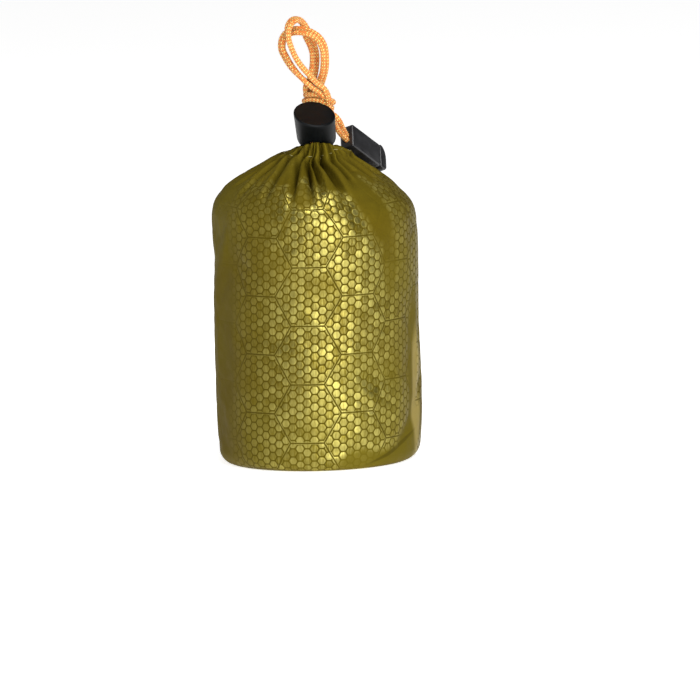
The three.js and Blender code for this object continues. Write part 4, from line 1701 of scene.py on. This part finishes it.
@dataclass
class CordEnd:
    """The cord end's two mouldings: a flat body with a socket, and the cap that closes it.

    The cap starts past the seam and stands proud of the body. Its far side is a round toe below and one
    long curve above, whose handles top_lift and top_draw place.
    """

    length: float = 22.4
    height: float = 9.6
    thickness: float = 6.0
    seam: float = 18.5
    gap: float = 0.04
    edge: float = 0.75
    top_lift: float = 2.5
    top_draw: float = 1.4
    toe: float = 1.6
    proud: float = 0.2
    socket_depth: float = 3.4
    socket_wide: float = 5.0
    socket_high: float = 2.7
    entry: Point = END_ENTRY
    turn: Point = END_TURN

    def matrix(self) -> Matrix:
        """Where the cord end lies."""
        roll, dip, heading = (math.radians(value) for value in self.turn)
        place = Matrix.Translation(Vector(self.entry) * MM) @ Matrix.Rotation(heading, 4, "Z")
        return place @ Matrix.Rotation(dip, 4, "Y") @ Matrix.Rotation(roll, 4, "X")

    def plate(self, outline: list[tuple[float, float]], thickness: float) -> BMesh:
        """A rounded plate.

        Args:
            outline: its corners as length and height, in millimetres.
            thickness: its thickness, in millimetres.

        Returns:
            The bmesh, still at the origin.
        """
        bm = bmesh.new()
        verts = [bm.verts.new((x * MM, -0.5 * thickness * MM, z * MM)) for x, z in outline]
        face = bm.faces.new(verts)
        made = bmesh.ops.extrude_face_region(bm, geom=[face])
        moved = [item for item in made["geom"] if isinstance(item, bmesh.types.BMVert)]
        bmesh.ops.translate(bm, vec=(0, thickness * MM, 0), verts=moved)
        bmesh.ops.recalc_face_normals(bm, faces=bm.faces)
        sharp = [edge for edge in bm.edges if edge.calc_face_angle(0) > SHARP_ANGLE]
        bmesh.ops.bevel(
            bm, geom=sharp, offset=self.edge * MM, offset_type="OFFSET", affect="EDGES",
            segments=4, profile=0.5, material=-1, clamp_overlap=True,
        )
        return bm

    def body_outline(self) -> list[tuple[float, float]]:
        """The body's corners."""
        half = self.height / 2
        return [(0, -half), (self.seam, -half), (self.seam, half), (0, half)]

    def cap_outline(self) -> list[tuple[float, float]]:
        """The cap's corners: a small round toe and a long curve up to the top edge."""
        half = self.height / 2 + self.proud
        start = self.seam + self.gap
        rows = [(start, -half)]
        for turn in np.radians(np.linspace(-90, 0, 6)):
            rows.append((
                self.length - self.toe + self.toe * math.cos(turn),
                self.toe - half + self.toe * math.sin(turn),
            ))
        lift, draw = (self.length, self.top_lift), (self.length - self.top_draw, half)
        corners = np.array([(self.length, 0), lift, draw, (start, half)])
        for t in np.linspace(0, 1, 11):
            share = np.array([(1 - t) ** 3, 3 * t * (1 - t) ** 2, 3 * t**2 * (1 - t), t**3])
            rows.append(tuple(share @ corners))
        return rows

    def build(self, material: Material) -> list[Object]:
        """Makes both mouldings.

        Args:
            material: their finish.

        Returns:
            The body and the cap.
        """
        socket = slot_cutter(self.socket_wide, self.socket_high, 2 * self.socket_depth, 0)
        quarter = math.radians(90)
        socket.transform(Matrix.Rotation(quarter, 4, "X") @ Matrix.Rotation(quarter, 4, "Z"))
        body = cut_from(mesh_of("end_body", self.plate(self.body_outline(), self.thickness)), socket)
        cap = mesh_of("end_cap", self.plate(self.cap_outline(), self.thickness + 2 * self.proud))
        names = (("cord_end_case", "cord_end_body"), ("cord_end_lid", "cord_end_cap"))
        made = []
        for (name, node), mesh in zip(names, (body, cap)):
            mesh.transform(self.matrix())
            piece = shown(name, mesh, material, Slot.PLASTIC)
            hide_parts(node)
            made.append(piece)
        return made


@dataclass(frozen=True)
class Softbox:
    """A soft light: its name, where it hangs, its width and height, and its power, in metres and watts."""

    name: str
    place: Point
    size: tuple[float, float]
    power: float


@dataclass
class Studio:
    """The camera at the photograph's angle, a pale floor and soft light.

    The photograph's middle lies base_right pixels right of the base's middle and base_up above it.
    """

    elevation: float = 7.5
    roll: float = 1.6
    mm_per_pixel: float = 0.3725
    base_right: float = 29.5
    base_up: float = 109.0
    frame_pixels: float = 700.0
    distance: float = 5.0
    sensor: float = 36.0
    clip: tuple[float, float] = (0.05, 60.0)
    floor_half: float = 14.0
    world_light: float = 0.12
    aim: Point = (0.0, 0.0, 0.06)
    lights: tuple[Softbox, ...] = (
        Softbox("key_front", (0.36, -1.15, 0.28), (1.00, 0.72), 14.3),
        Softbox("top_front", (0.16, -0.50, 1.10), (0.5, 0.5), 10.0),
        Softbox("edge_left", (-0.9, 0.42, 0.40), (0.25, 0.4), 1.4),
    )
    finish: FloorFinish = field(default_factory=FloorFinish)

    def camera(self) -> None:
        """Makes the camera."""
        rise, lean = math.radians(self.elevation), math.radians(self.roll)
        level, upright = Vector((1, 0, 0)), Vector((0, math.sin(rise), math.cos(rise)))
        ahead = Vector((0, math.cos(rise), -math.sin(rise)))
        right = level * math.cos(lean) - upright * math.sin(lean)
        up = level * math.sin(lean) + upright * math.cos(lean)
        scale = self.mm_per_pixel * MM
        target = right * self.base_right * scale + up * self.base_up * scale
        data = bpy.data.cameras.new("camera")
        data.sensor_width = self.sensor
        data.lens = self.sensor * self.distance / (self.frame_pixels * scale)
        data.clip_start, data.clip_end = self.clip
        camera = bpy.data.objects.new("camera", data)
        turned = Matrix((right, up, -ahead)).transposed().to_4x4()
        camera.matrix_world = Matrix.Translation(target - ahead * self.distance) @ turned
        bpy.context.scene.collection.objects.link(camera)
        bpy.context.scene.camera = camera

    def floor(self) -> None:
        """Makes the floor."""
        bm = bmesh.new()
        bmesh.ops.create_grid(bm, x_segments=4, y_segments=4, size=self.floor_half)
        mesh = mesh_of("floor", bm)
        mesh.materials.append(self.finish.material())
        linked("floor", mesh)

    def hang(self, light: Softbox) -> None:
        """Hangs one soft light that faces the sack.

        Args:
            light: the light's sizes and power.
        """
        data = bpy.data.lights.new(light.name, "AREA")
        data.shape = "RECTANGLE"
        data.size, data.size_y = light.size
        data.energy = light.power
        lamp = bpy.data.objects.new(light.name, data)
        lamp.visible_camera = False
        lamp.location = light.place
        towards = Vector(self.aim) - Vector(light.place)
        lamp.rotation_euler = towards.to_track_quat("-Z", "Y").to_euler()
        bpy.context.scene.collection.objects.link(lamp)

    def build(self) -> None:
        """Makes the camera, the floor and the lights."""
        self.camera()
        self.floor()
        scene = bpy.context.scene
        scene.world = bpy.data.worlds.new("studio")
        scene.world.use_nodes = True
        background = scene.world.node_tree.nodes["Background"]
        background.inputs["Color"].default_value = WHITE
        background.inputs["Strength"].default_value = self.world_light
        scene.view_settings.view_transform = "Standard"
        for light in self.lights:
            self.hang(light)
        LOG.info("studio: camera, floor and %d soft lights", len(self.lights))


def main() -> None:
    """Builds the studio and the object piece by piece."""
    Studio().build()
    lock = BarrelLock().build(LOCK_PLASTIC.material())
    end = CordEnd().build(MouldedPlastic().material())
    Drawstring().build([lock, *end])
    cloth = Sack().build()
    ChannelStitches().build(cloth)


if __name__ == "__main__":
    logging.basicConfig(level=logging.INFO, format="%(message)s")
    main()
